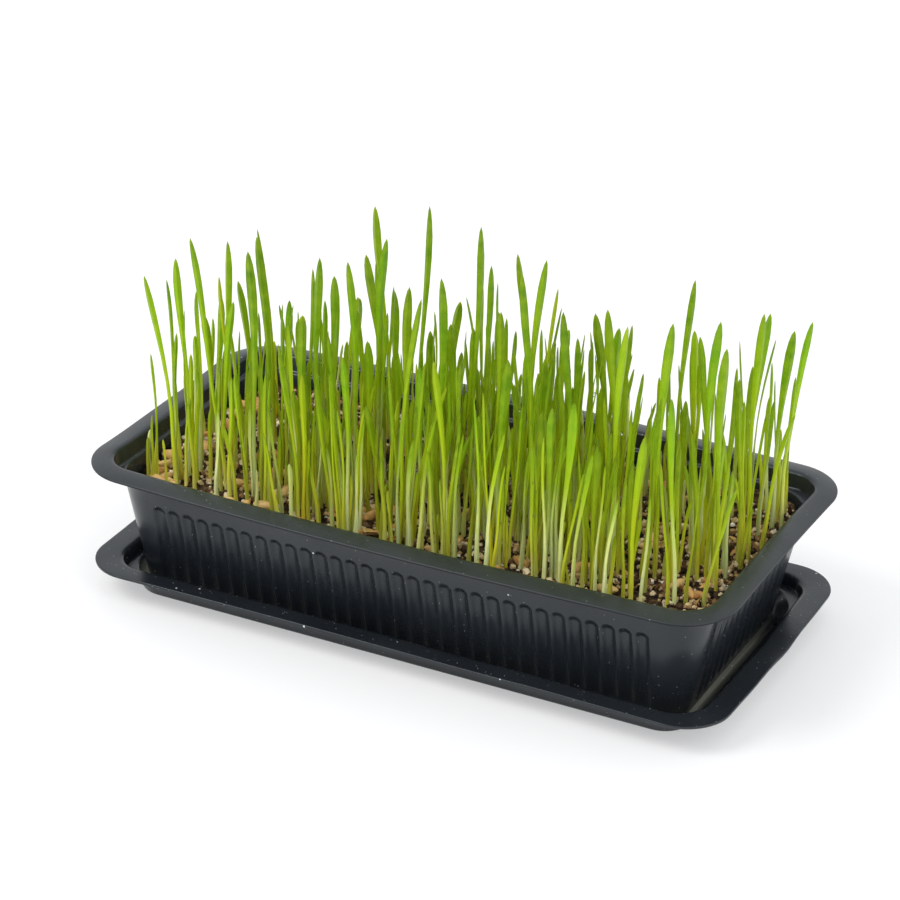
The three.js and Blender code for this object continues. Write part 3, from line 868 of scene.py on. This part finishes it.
# Tall single blades that stand out against the background: root x and y, tip height, and the tip's lean along
# x and y, then a share of the leaf's full width
OUTLIERS = [
    (-80, -24, 77, 1, 0, 0.5), (-83, -8, 69, 0, 0, 0.75), (-76, -8, 83, 2, 0, 0.8),
    (-66, -24, 91, 7, 0, 0.85), (-66, 8, 99, -4, 0, 0.45), (-59, -8, 84, 1, 0, 0.4),
    (-75, 24, 56, 0, 0, 0.5), (-61, 8, 70, -2, 0, 0.45),
    (-45, -8, 98, 1, 0, 0.5), (-50, 8, 81, 1, 0, 0.55), (-41, 24, 89, 1, 0, 0.4), (-24, 8, 89, -3, 0, 1.0),
    (-13, 8, 79, -1, 0, 0.9), (-18, 24, 73, 1, 0, 0.5), (2, 24, 80, 0, 0, 0.5), (4, 25, 63, 2, 0, 0.5),
    (14, 24, 71, 0, 0, 0.45), (28, 24, 76, 0, 0, 0.55), (39, 24, 86, 1, 0, 0.5), (41, 26, 72, 3, -2, 0.45),
    (49, 24, 72, 0, 0, 0.45), (56, 8, 89, 1, 0, 0.5), (64, 8, 75, 0, 0, 0.8), (77, 8, 88, 1, 0, 0.5),
    (73, 24, 73, 0, 0, 0.5), (77, 23, 82, 0, 0, 0.6), (82, 22, 74, 1, 1, 0.5), (86, 22, 95, 2, 1, 1.15),
    (88, 24, 81, 1, 0, 0.5), (86, 25, 64, 0, 0, 0.5), (1, -25, 84, -2, 0, 0.9), (-11, -25, 68, -7, 1, 0.8),
    (39, 8, 75, 1, 0, 1.05), (62, -8, 76, 0, 0, 1.0), (50, -25, 71, 2, 0, 0.8), (75, -8, 69, -2, 0, 0.8),
    (-88, -27, 46, 1, 0, 0.42), (-86, -30, 45, 0, 0, 0.42), (-73, -25, 72, -1, 0, 0.55),
    (-71, -28, 64, 1, 0, 0.5), (-74, -21, 66, 0, 0, 0.5), (-77, -27, 58, -1, 0, 0.45),
    (-70, -31, 60, -1, 0, 0.5), (-69, -24, 56, 1, 0, 0.5), (-7, 7, 83, 0, 0, 0.95), (-2, 9, 82, 0, 0, 0.8),
    (-14, 24, 66, 1, 0, 0.7), (-36, 8, 68, 1, 0, 0.9), (-24, -9, 80, -2, 0, 0.95), (82, -4, 62, 2, 0, 0.55),
    (78, 1, 70, -2, 0, 0.6), (85, -9, 66, 0, 0, 0.5), (75, 5, 60, 1, 0, 0.5), (84, 5, 57, -3, 0, 0.5),
    (86, -1, 52, 3, 0, 0.45), (80, -9, 74, 3, 0, 0.6), (66, -30, 58, 2, 0, 0.5),
]


def grow_outliers(stand):
    for number, (x, y, tip, lean_x, lean_y, share) in enumerate(OUTLIERS):
        z = mix_top(x, y) - BLADE["below"]
        stand.add({
            "bunch": LOOSE_BUNCH - 1 - number, "x": x, "y": y, "z": z, "height": tip - z,
            "lean_x": lean_x, "lean_y": lean_y,
            "facing": 0.45 + 0.9 * (draw(number, 303, 1) - 0.5), "twist": draw(number, 303, 2) - 0.5,
            "share": share, "slim": SINGLE_SLIM,
        })


def grow_between(stand):
    """Single blades on the open mix between bunches, fewer in the bare parts of the bed."""
    for item in range(LOOSE_TRIES):
        x, y = mix_spot(item, 301, 2.6)
        if draw(item, 301, 3) > cover(x, y):
            continue
        kind = draw(item, 301, 4)
        least, more = next((least, more) for up_to, least, more in LOOSE_HEIGHTS if kind < up_to)
        height = (least + more * draw(item, 301, 5)) * low_growth(x, y)
        broad = BROAD["more"] if draw(item, 301, 11) < BROAD["often"] else 0.0
        z = mix_top(x, y) - BLADE["below"]
        blade = {
            "bunch": LOOSE_BUNCH + item, "x": x, "y": y, "z": z, "height": height,
            "lean_x": (14 * (draw(item, 301, 6) - 0.5) + 12 * sway_east(x, y)) * height / 60,
            "lean_y": 9 * (draw(item, 301, 7) - 0.5) * height / 60,
            "facing": math.pi * draw(item, 301, 8), "twist": 2.2 * (draw(item, 301, 9) - 0.5),
            "share": 0.38 + (broad + 0.34 * draw(item, 301, 10)) * min(1, height / 45),
            "slim": SINGLE_SLIM,
        }
        if not leaves_tray(blade) and stand.is_clear(blade, 0, LOOSE_GAP):
            stand.add(blade)


def low_growth(x, y):
    """How tall the single blades grow, as a share: less at the back, least behind the right end."""
    left = eased(-x, 10, 16)
    right = eased(x, 28, 14) * eased(-x, -82, 8)
    return 1 - eased(y, -12, 12) * (0.2 + 0.16 * left) - 0.3 * right * eased(y, -24, 12)


def sway_east(x, y):
    """How far the single blades round a place lean together along x, from about -0.5 to 1."""
    front = eased(-y, 10, 20) * eased(x, -10, 40)
    return wave(x, y, 0.04, 0.05, 12) + 0.45 * front


def cover(x, y):
    """The share of single blades that stand at a place: patchy, and fewer where the grass thins out."""
    patches = 0.75 + 0.6 * wave(x, y, 0.06, 0.06, 4)
    share = thickness(x, y) ** 3 * patches
    for spot_x, spot_y, radius, growth in SPOTS:
        near = 1 - smooth(math.hypot(x - spot_x, y - spot_y) / radius - 0.5)
        share *= 1 + (growth - 1) * near
    return share


def blade_master():
    """One straight blade, 1 long: a six-sided tube, closed at its foot and pointed at its tip, which
    blade_shape forms into a sheath and leaf.
    Its corners hold their place round the section in x and y, and their share of the length in z."""
    stops = (0.1, 0.22, 0.36, 0.5, 0.62, 0.73, 0.82, 0.89, 0.945, 0.98, 1)
    clear_selection()
    bpy.ops.mesh.primitive_circle_add(vertices=6, radius=1, fill_type="NGON")
    blade = bpy.context.object
    level = 0.0
    with edit_mode():
        for stop in stops:
            bpy.ops.mesh.extrude_region_move(TRANSFORM_OT_translate={"value": (0, 0, stop - level)})
            level = stop
        bpy.ops.mesh.merge(type="CENTER")
    return mesh_arrays(blade)


# The share of a blade's length below which it doesn't twist
SHEATH = 0.36


def section(angle, t):
    """Across and through the blade, as shares of its width, for a corner at an angle of the section."""
    across = np.cos(angle)
    tube = 0.5 * np.sin(angle)
    fold = np.abs(across)
    channel = 0.34 * (fold - 0.5) + 0.055 * np.sign(np.round(np.sin(angle), 3)) * (1.15 - fold)
    flat = np.clip((t - 0.14) / 0.34, 0, 1)
    flat = flat * flat * (3 - 2 * flat)
    return across / 2, tube * (1 - flat) + channel * flat


def facing_at(blade, t):
    """Which way a blade faces at shares t of its length: it twists above its sheath."""
    return blade["facing"] + blade["twist"] * np.maximum(t - SHEATH, 0)


def blade_shape(master, blade):
    """The master bent, twisted and sized to one blade's place, in mm."""
    corners, _ = master
    t = corners[:, 2]
    angle = np.arctan2(corners[:, 1], corners[:, 0])
    depth = NECK["depth"] * eased(blade["height"], NECK["from"], NECK["over"])
    neck = 1 - depth * np.exp(-(((t - NECK["place"]) / NECK["reach"]) ** 2))
    width = blade_widths(blade["share"], t) * blade["slim"] * neck
    width = np.where(t >= 1, 0.02, width)
    across, through = section(angle, t)
    turn = facing_at(blade, t)
    sway = 0.55 * np.sin(t * 5 + blade["bunch"] + blade["x"]) * np.minimum(1, t * 3) * blade["height"] / 60
    x = blade["x"] + blade["lean_x"] * spread(t) + sway
    y = blade["y"] + blade["lean_y"] * spread(t) + 0.7 * sway
    u, v = across * width, through * width
    return np.column_stack([
        x + u * np.cos(turn) - v * np.sin(turn),
        y + u * np.sin(turn) + v * np.cos(turn),
        blade["z"] - 1.5 * (t < 0.01) + blade["height"] * t,
    ])


def grass_piece(name, master, blades, material, *nodes):
    """Blades joined in one mesh, with a map across and along each leaf and each blade's own tone and age."""
    corners, faces, across, along, tones, ages, rises = [], [], [], [], [], [], []
    start = 0
    for blade in blades:
        placed = blade_shape(master, blade)
        key = int(blade["x"] * 97) % 1000 + 1000
        across.append(0.5 + 0.5 * master[0][:, 0])
        along.append(master[0][:, 2])
        corners.append(placed)
        faces += [tuple(start + i for i in face) for face in master[1]]
        tones.append(np.full(len(placed), draw(key, blade["bunch"], 401)))
        ages.append(np.full(len(placed), draw(key, blade["bunch"], 402)))
        rises.append((placed[:, 2] - blade["z"]) / 100)
        start += len(placed)
    mesh = bpy.data.meshes.new(name)
    mesh.from_pydata((np.concatenate(corners) * MM).tolist(), [], faces)
    for label, values in (("tone", tones), ("age", ages), ("rise", rises)):
        layer = mesh.attributes.new(label, "FLOAT", "POINT")
        layer.data.foreach_set("value", np.concatenate(values))
    leaf_map = mesh.uv_layers.new(name="leaf")
    vertex_of = np.zeros(len(mesh.loops), dtype=np.int32)
    mesh.loops.foreach_get("vertex_index", vertex_of)
    pairs = np.column_stack([np.concatenate(across)[vertex_of], np.concatenate(along)[vertex_of]])
    leaf_map.data.foreach_set("uv", pairs.ravel())
    piece = bpy.data.objects.new(name, mesh)
    bpy.context.scene.collection.objects.link(piece)
    soften(piece, 75)
    return settle(piece, "grass", material, *nodes)


def build_grass(material):
    stand = Stand()
    grow_bunches(stand)
    bunched = len(stand.blades)
    grow_outliers(stand)
    grow_between(stand)
    master = blade_master()
    for bunch in range(len(BUNCHES)):
        name = f"grass_bunch_{bunch + 1:02d}"
        blades = [blade for blade in stand.blades[:bunched] if blade["bunch"] == bunch]
        grass_piece(name.replace("bunch", "blades"), master, blades, material, name)
    for strip in range(STRIPS):
        low = -100 + 200 * strip / STRIPS
        high = low + 200 / STRIPS
        blades = [blade for blade in stand.blades[bunched:] if low <= blade["x"] < high]
        grass_piece(f"single_blades_{strip + 1}", master, blades, material)
    return stand


# Water
def drop_master():
    """A bead of water: a low ball, a little flat where it clings."""
    clear_selection()
    bpy.ops.mesh.primitive_ico_sphere_add(subdivisions=2, radius=1)
    drop = bpy.context.object
    for vertex in drop.data.vertices:
        vertex.co.z *= 1.1 if vertex.co.z < 0 else 0.9
    return mesh_arrays(drop)


def build_drops(stand, material):
    """Beads of water on the leaves, most of them right of the middle."""
    places = []
    for number, blade in enumerate(stand.blades):
        wet = math.exp(-((blade["x"] - DROPS["x"]) / DROPS["reach"]) ** 2)
        if blade["height"] < 30 or draw(number, 501, 1) > DROPS["share"] * wet:
            continue
        for bead in range(2):
            t = 0.45 + 0.5 * draw(number, 502, bead)
            side = 1 if draw(number, 503, bead) > 0.5 else -1
            out = side * blade_widths(blade["share"], np.array(t)) * blade["slim"] * 0.3
            off = DROPS["stand_off"]
            turn = facing_at(blade, t)
            x = blade["x"] + blade["lean_x"] * spread(t) + out * math.cos(turn) + off * math.sin(turn)
            y = blade["y"] + blade["lean_y"] * spread(t) + out * math.sin(turn) - off * math.cos(turn)
            z = blade["z"] + blade["height"] * t
            size = DROPS["least"] + DROPS["range"] * draw(number, 504, bead)
            places.append(((x, y, z), heading_matrix(0, 0, 0), size, draw(number, 505, bead)))
    return strewn_piece("water_drops", [drop_master()], places, "grass", material, 80)


# Effects that several finishes share
def effect_group(name, inputs, output):
    """A shader node group with named number inputs and one output, and its two end nodes."""
    group = bpy.data.node_groups.new(name, "ShaderNodeTree")
    for label, value in inputs.items():
        socket = group.interface.new_socket(name=label, in_out="INPUT", socket_type="NodeSocketFloat")
        socket.default_value = value
    group.interface.new_socket(name=output, in_out="OUTPUT", socket_type="NodeSocketFloat")
    return group, group.nodes.new("NodeGroupInput"), group.nodes.new("NodeGroupOutput")


def mottle_effect():
    """Soft patches that run between two values."""
    inputs = {"Scale": 50.0, "Detail": 3.0, "Low": 0.0, "High": 1.0}
    group, given, result = effect_group("mottle", inputs, "Value")
    place = group.nodes.new("ShaderNodeTexCoord")
    patches = group.nodes.new("ShaderNodeTexNoise")
    ranged = group.nodes.new("ShaderNodeMapRange")
    ranged.inputs["From Min"].default_value = 0.33
    ranged.inputs["From Max"].default_value = 0.67
    link = group.links.new
    link(place.outputs["Object"], patches.inputs["Vector"])
    link(given.outputs["Scale"], patches.inputs["Scale"])
    link(given.outputs["Detail"], patches.inputs["Detail"])
    link(patches.outputs["Fac"], ranged.inputs["Value"])
    link(given.outputs["Low"], ranged.inputs["To Min"])
    link(given.outputs["High"], ranged.inputs["To Max"])
    link(ranged.outputs["Result"], result.inputs["Value"])
    return group


def dust_effect():
    """Scattered round specks: a share of the cells of a cell pattern holds one."""
    group, given, result = effect_group("dust specks", {"Scale": 500.0, "Size": 0.1, "Share": 0.1}, "Mask")
    place = group.nodes.new("ShaderNodeTexCoord")
    cells = group.nodes.new("ShaderNodeTexVoronoi")
    parts = group.nodes.new("ShaderNodeSeparateColor")
    near, chosen, both = (group.nodes.new("ShaderNodeMath") for _ in range(3))
    near.operation = "LESS_THAN"
    chosen.operation = "LESS_THAN"
    both.operation = "MULTIPLY"
    link = group.links.new
    link(place.outputs["Object"], cells.inputs["Vector"])
    link(given.outputs["Scale"], cells.inputs["Scale"])
    link(cells.outputs["Distance"], near.inputs[0])
    link(given.outputs["Size"], near.inputs[1])
    link(cells.outputs["Color"], parts.inputs["Color"])
    link(parts.outputs["Red"], chosen.inputs[0])
    link(given.outputs["Share"], chosen.inputs[1])
    link(near.outputs["Value"], both.inputs[0])
    link(chosen.outputs["Value"], both.inputs[1])
    link(both.outputs["Value"], result.inputs["Mask"])
    return group


# Materials
class Finish:
    """A material being made. Its methods take outputs, numbers or colours, and return a node's output."""

    def __init__(self, name, roughness, specular=0.5):
        self.material = bpy.data.materials.new(name)
        self.material.use_nodes = True
        self.tree = self.material.node_tree
        self.surface = self.tree.nodes["Principled BSDF"]
        self.put("Roughness", roughness)
        self.put("Specular IOR Level", specular)

    def feed(self, socket, value):
        """Links an output to a socket, or sets the socket to a number or a colour."""
        if isinstance(value, bpy.types.NodeSocket):
            self.tree.links.new(value, socket)
        elif isinstance(value, tuple):
            socket.default_value = (*value, 1)
        else:
            socket.default_value = value

    def put(self, label, value):
        self.feed(self.surface.inputs[label], value)

    def effect(self, group, **values):
        """One use of a shared effect, with its own values."""
        used = self.tree.nodes.new("ShaderNodeGroup")
        used.node_tree = group
        for label, value in values.items():
            used.inputs[label].default_value = value
        return used.outputs[0]

    def mottled(self, scale, detail, low=0.0, high=1.0):
        return self.effect(bpy.data.node_groups["mottle"], Scale=scale, Detail=detail, Low=low, High=high)

    def specks(self, scale, size, share):
        return self.effect(bpy.data.node_groups["dust specks"], Scale=scale, Size=size, Share=share)

    def ramp(self, factor, *stops):
        """A colour ramp from pairs of a place and a colour, or a place and a grey."""
        ramp = self.tree.nodes.new("ShaderNodeValToRGB")
        elements = ramp.color_ramp.elements
        while len(elements) < len(stops):
            elements.new(0.5)
        for element, (place, colour) in zip(elements, stops):
            element.position = place
            element.color = (*colour, 1) if isinstance(colour, tuple) else (colour, colour, colour, 1)
        self.feed(ramp.inputs["Fac"], factor)
        return ramp.outputs["Color"]

    def mix(self, factor, first, second, blend="MIX"):
        mix = self.tree.nodes.new("ShaderNodeMix")
        mix.data_type = "RGBA"
        mix.blend_type = blend
        self.feed(mix.inputs["Factor"], factor)
        self.feed(mix.inputs[6], first)
        self.feed(mix.inputs[7], second)
        return mix.outputs[2]

    def math(self, operation, first, second=0.0):
        made = self.tree.nodes.new("ShaderNodeMath")
        made.operation = operation
        self.feed(made.inputs[0], first)
        self.feed(made.inputs[1], second)
        return made.outputs["Value"]

    def plus(self, first, second):
        return self.math("ADD", first, second)

    def times(self, first, second):
        return self.math("MULTIPLY", first, second)

    def attribute(self, name):
        found = self.tree.nodes.new("ShaderNodeAttribute")
        found.attribute_name = name
        return found.outputs["Fac"]

    def relief(self, height, strength, distance):
        """Gives the surface a fine relief from a height."""
        bump = self.tree.nodes.new("ShaderNodeBump")
        bump.inputs["Strength"].default_value = strength
        bump.inputs["Distance"].default_value = distance
        self.feed(bump.inputs["Height"], height)
        self.put("Normal", bump.outputs["Normal"])


def black_sheet(name, dust_share, dust_light):
    """Black formed plastic: satin, faintly grained, a little wavy, with pale dust specks, and a painted
    shadow line in near black along the rim's lower edge.
    """
    sheet = Finish(name, 0.36, 0.46)
    sheet.put("Specular Tint", (0.91, 0.97, 1.0))
    settled = sheet.attribute("settled_dust")
    trimmed = sheet.attribute("trimmed")
    black = sheet.mix(sheet.mottled(35, 4), (0.0105, 0.013, 0.0165), (0.0165, 0.0195, 0.0235))
    dusty = sheet.mix(settled, black, (0.36, 0.36, 0.29))
    # Painted shade: the marked lower edge of the rim is painted near black and made rougher, for the shadow
    # line under the flange's edge
    edge_shaded_colour = sheet.mix(trimmed, dusty, (0.003, 0.003, 0.004))
    coarse = sheet.specks(330, 0.1, dust_share)
    fine = sheet.specks(1100, 0.16, dust_share * 0.6)
    sheet.put("Base Color", sheet.mix(sheet.math("MAXIMUM", coarse, sheet.times(fine, 0.4)), edge_shaded_colour, dust_light))
    sheen = sheet.mottled(60, 5, 0.21, 0.31)
    dull = sheet.math("MINIMUM", sheet.plus(sheen, sheet.times(settled, 1.6)), 0.85)
    sheet.put("Roughness", sheet.math("MINIMUM", sheet.plus(dull, sheet.times(trimmed, 0.55)), 0.9))
    waves = sheet.mottled(55, 1)
    grain = sheet.mottled(2600, 2)
    sheet.relief(sheet.plus(waves, sheet.times(grain, 0.035)), 0.5, 0.00035)
    return sheet.material


def loose_finish(name, roughness, relief, *stops):
    """Crumbly matter whose colour runs through a ramp by each bit's own tone, with a rough broken face."""
    matter = Finish(name, roughness, 0.25)
    tone = matter.plus(matter.attribute("tone"), matter.mottled(900, 4, -0.22, 0.22))
    matter.put("Base Color", matter.ramp(tone, *stops))
    matter.relief(matter.mottled(1600, 5), 0.8, relief)
    return matter.material


def bed_finish():
    """Damp potting mix: dark, with paler clods."""
    bed = Finish("damp potting mix", 0.92, 0.2)
    bed.put("Base Color", bed.ramp(
        bed.mottled(420, 6), (0.0, (0.011, 0.007, 0.0045)), (0.4, (0.045, 0.026, 0.014)),
        (0.75, (0.13, 0.075, 0.037)), (1.0, (0.27, 0.165, 0.085)),
    ))
    bed.relief(bed.mottled(1300, 6), 1.0, 0.0006)
    return bed.material


def leaf_finish():
    """Young wheat: pale at the foot, bright in the middle, deeper green at the tip, with fine veins and
    painted shade along the margins.
    """
    leaf = Finish("wheat leaf", 0.42, 0.13)
    leaf.put("Subsurface Weight", 0.16)
    leaf.put("Subsurface Scale", 0.0012)
    leaf.surface.inputs["Subsurface Radius"].default_value = (0.6, 1.0, 0.2)
    uv = leaf.tree.nodes.new("ShaderNodeUVMap")
    uv.uv_map = "leaf"
    parts = leaf.tree.nodes.new("ShaderNodeSeparateXYZ")
    leaf.feed(parts.inputs["Vector"], uv.outputs["UV"])
    across = parts.outputs["X"]
    along = parts.outputs["Y"]
    tone = leaf.attribute("tone")
    age = leaf.attribute("age")
    rise = leaf.attribute("rise")

    # Green by height and tip, then yellow on a few old blades and pale feet on others
    shifted = leaf.plus(rise, leaf.times(leaf.math("SUBTRACT", 0.5, tone), 0.12))
    green = leaf.ramp(
        shifted, (0.0, (0.88, 0.82, 0.26)), (0.07, (0.74, 0.71, 0.07)), (0.2, (0.42, 0.56, 0.008)),
        (0.42, (0.26, 0.46, 0.003)), (0.75, (0.20, 0.37, 0.004)),
    )
    tip = leaf.ramp(along, (0.65, 1), (0.92, (0.7, 0.77, 0.86)), (1.0, (0.5, 0.58, 0.74)))
    colour = leaf.mix(1.0, green, tip, "MULTIPLY")
    yellowing = leaf.times(leaf.ramp(age, (0.87, 0), (0.95, 0.9)), leaf.ramp(along, (0.1, 1), (0.6, 0.25)))
    colour = leaf.mix(yellowing, colour, (0.60, 0.50, 0.015))
    pale = leaf.times(leaf.ramp(tone, (0.62, 0), (0.86, 1)), leaf.ramp(rise, (0.07, 0.9), (0.3, 0)))
    colour = leaf.mix(pale, colour, (0.93, 0.94, 0.5))

    # Margins darkened as painted shade, for the shading along the leaf's edges; a hue by tone and a lightness
    # by age
    out = leaf.times(leaf.math("ABSOLUTE", leaf.math("SUBTRACT", across, 0.5)), 2.0)
    colour = leaf.mix(1.0, colour, leaf.ramp(out, (0.5, 1), (1.0, (0.6, 0.68, 0.6))), "MULTIPLY")
    shade = leaf.tree.nodes.new("ShaderNodeHueSaturation")
    leaf.feed(shade.inputs["Hue"], leaf.plus(leaf.times(tone, 0.035), 0.482))
    leaf.feed(shade.inputs["Value"], leaf.plus(leaf.times(age, 0.62), 0.6))
    leaf.feed(shade.inputs["Color"], colour)

    # Veins along the leaf, in light streaks and a fine relief
    veins = leaf.math("SINE", leaf.times(across, 62.0))
    streak = leaf.plus(leaf.times(veins, 0.35), leaf.mottled(260, 3, -0.5, 0.5))
    strength = leaf.plus(leaf.times(streak, 0.26), 0.18)
    leaf.put("Base Color", leaf.mix(strength, shade.outputs["Color"], (0.5, 0.64, 0.03)))
    leaf.relief(veins, 0.35, 0.00008)
    return leaf.material


def water_finish():
    """Clear water whose gloss is broken a little by a fine ripple."""
    water = Finish("water", 0.04)
    water.put("Transmission Weight", 1.0)
    water.put("IOR", 1.33)
    ripple = water.tree.nodes.new("ShaderNodeTexNoise")
    water.feed(ripple.inputs["Scale"], 2500.0)
    place = water.tree.nodes.new("ShaderNodeTexCoord")
    water.feed(ripple.inputs["Vector"], place.outputs["Object"])
    water.relief(ripple.outputs["Fac"], 0.15, 0.00005)
    return water.material


def make_materials():
    mottle_effect()
    dust_effect()
    return {
        "planter": black_sheet("black planter sheet", 0.07, (0.62, 0.65, 0.68)),
        "saucer": black_sheet("black saucer sheet", 0.2, (0.66, 0.68, 0.7)),
        "bed": bed_finish(),
        "crumb": loose_finish("dark crumb", 0.9, 0.0003, (0.0, (0.008, 0.005, 0.004)),
                              (0.5, (0.05, 0.027, 0.014)), (1.0, (0.17, 0.095, 0.048))),
        "bark": loose_finish("bark sliver", 0.8, 0.0002, (0.0, (0.03, 0.013, 0.007)),
                             (0.6, (0.14, 0.06, 0.024)), (1.0, (0.30, 0.16, 0.07))),
        "granule": loose_finish("golden granule", 0.55, 0.0002, (0.0, (0.26, 0.14, 0.05)),
                                (0.5, (0.62, 0.43, 0.2)), (1.0, (0.92, 0.77, 0.52))),
        "pale": loose_finish("pale granule", 0.7, 0.00015, (0.0, (0.5, 0.38, 0.24)),
                             (1.0, (0.92, 0.86, 0.76))),
        "kernel": loose_finish("wheat kernel", 0.5, 0.00006, (0.0, (0.44, 0.2, 0.06)),
                               (0.5, (0.66, 0.38, 0.13)), (1.0, (0.8, 0.55, 0.23))),
        "leaf": leaf_finish(),
        "water": water_finish(),
    }


# Surroundings
CAMERA = {"azimuth": 26.98, "elevation": 26.70, "distance": 0.86947, "roll": 0.58}
CAMERA_TARGET = Vector((-0.00310, -0.00145, 0.04802))
FOCAL_PIXELS = 3072.67
FRAME_PIXELS = 900
SENSOR = 36.0


def build_floor():
    clear_selection()
    bpy.ops.mesh.primitive_plane_add(size=6, location=(0, 0, -0.0001))
    floor = bpy.context.object
    floor.name = "floor"
    pale = Finish("pale floor", 0.7, 0.2)
    pale.put("Base Color", (0.6, 0.6, 0.6))
    pale.put("Emission Color", (1, 1, 1))
    pale.put("Emission Strength", 0.38)
    floor.data.materials.append(pale.material)


def area_light(name, place, size, power, colour):
    light = bpy.data.lights.new(name, "AREA")
    light.shape = "DISK"
    light.size = size
    light.energy = power
    light.color = colour
    lamp = bpy.data.objects.new(name, light)
    lamp.location = place
    lamp.rotation_mode = "QUATERNION"
    lamp.rotation_quaternion = (-Vector(place)).to_track_quat("-Z", "Y")
    bpy.context.scene.collection.objects.link(lamp)


def build_light():
    world = bpy.data.worlds.new("soft studio")
    bpy.context.scene.world = world
    world.use_nodes = True
    backdrop = world.node_tree.nodes["Background"]
    backdrop.inputs["Color"].default_value = (0.96, 0.98, 1.0, 1)
    backdrop.inputs["Strength"].default_value = 0.95
    area_light("key", (-0.9, -0.9, 1.5), 0.9, 14, (1.0, 0.99, 0.97))
    area_light("fill", (1.3, -0.5, 1.0), 1.2, 5, (0.97, 0.98, 1.0))
    bpy.context.scene.view_settings.view_transform = "Standard"


def build_camera():
    azimuth = math.radians(CAMERA["azimuth"])
    elevation = math.radians(CAMERA["elevation"])
    roll = math.radians(CAMERA["roll"])
    back = Vector((math.sin(azimuth) * math.cos(elevation), -math.cos(azimuth) * math.cos(elevation),
                   math.sin(elevation)))
    right = (-back).cross(Vector((0, 0, 1))).normalized()
    up = right.cross(-back)
    rolled_right = right * math.cos(roll) + up * math.sin(roll)
    rolled_up = -right * math.sin(roll) + up * math.cos(roll)
    data = bpy.data.cameras.new("camera")
    data.sensor_width = SENSOR
    data.lens = SENSOR * FOCAL_PIXELS / FRAME_PIXELS
    camera = bpy.data.objects.new("camera", data)
    turn = Matrix((rolled_right, rolled_up, back)).transposed()
    camera.matrix_world = Matrix.Translation(CAMERA_TARGET + back * CAMERA["distance"]) @ turn.to_4x4()
    bpy.context.scene.collection.objects.link(camera)
    bpy.context.scene.camera = camera


materials = make_materials()
build_camera()
build_floor()
build_light()
build_planter(materials["planter"])
build_saucer(materials["saucer"])
build_bed(materials["bed"])
build_loose_mix(materials)
build_kernels(materials["kernel"])
stand = build_grass(materials["leaf"])
build_drops(stand, materials["water"])
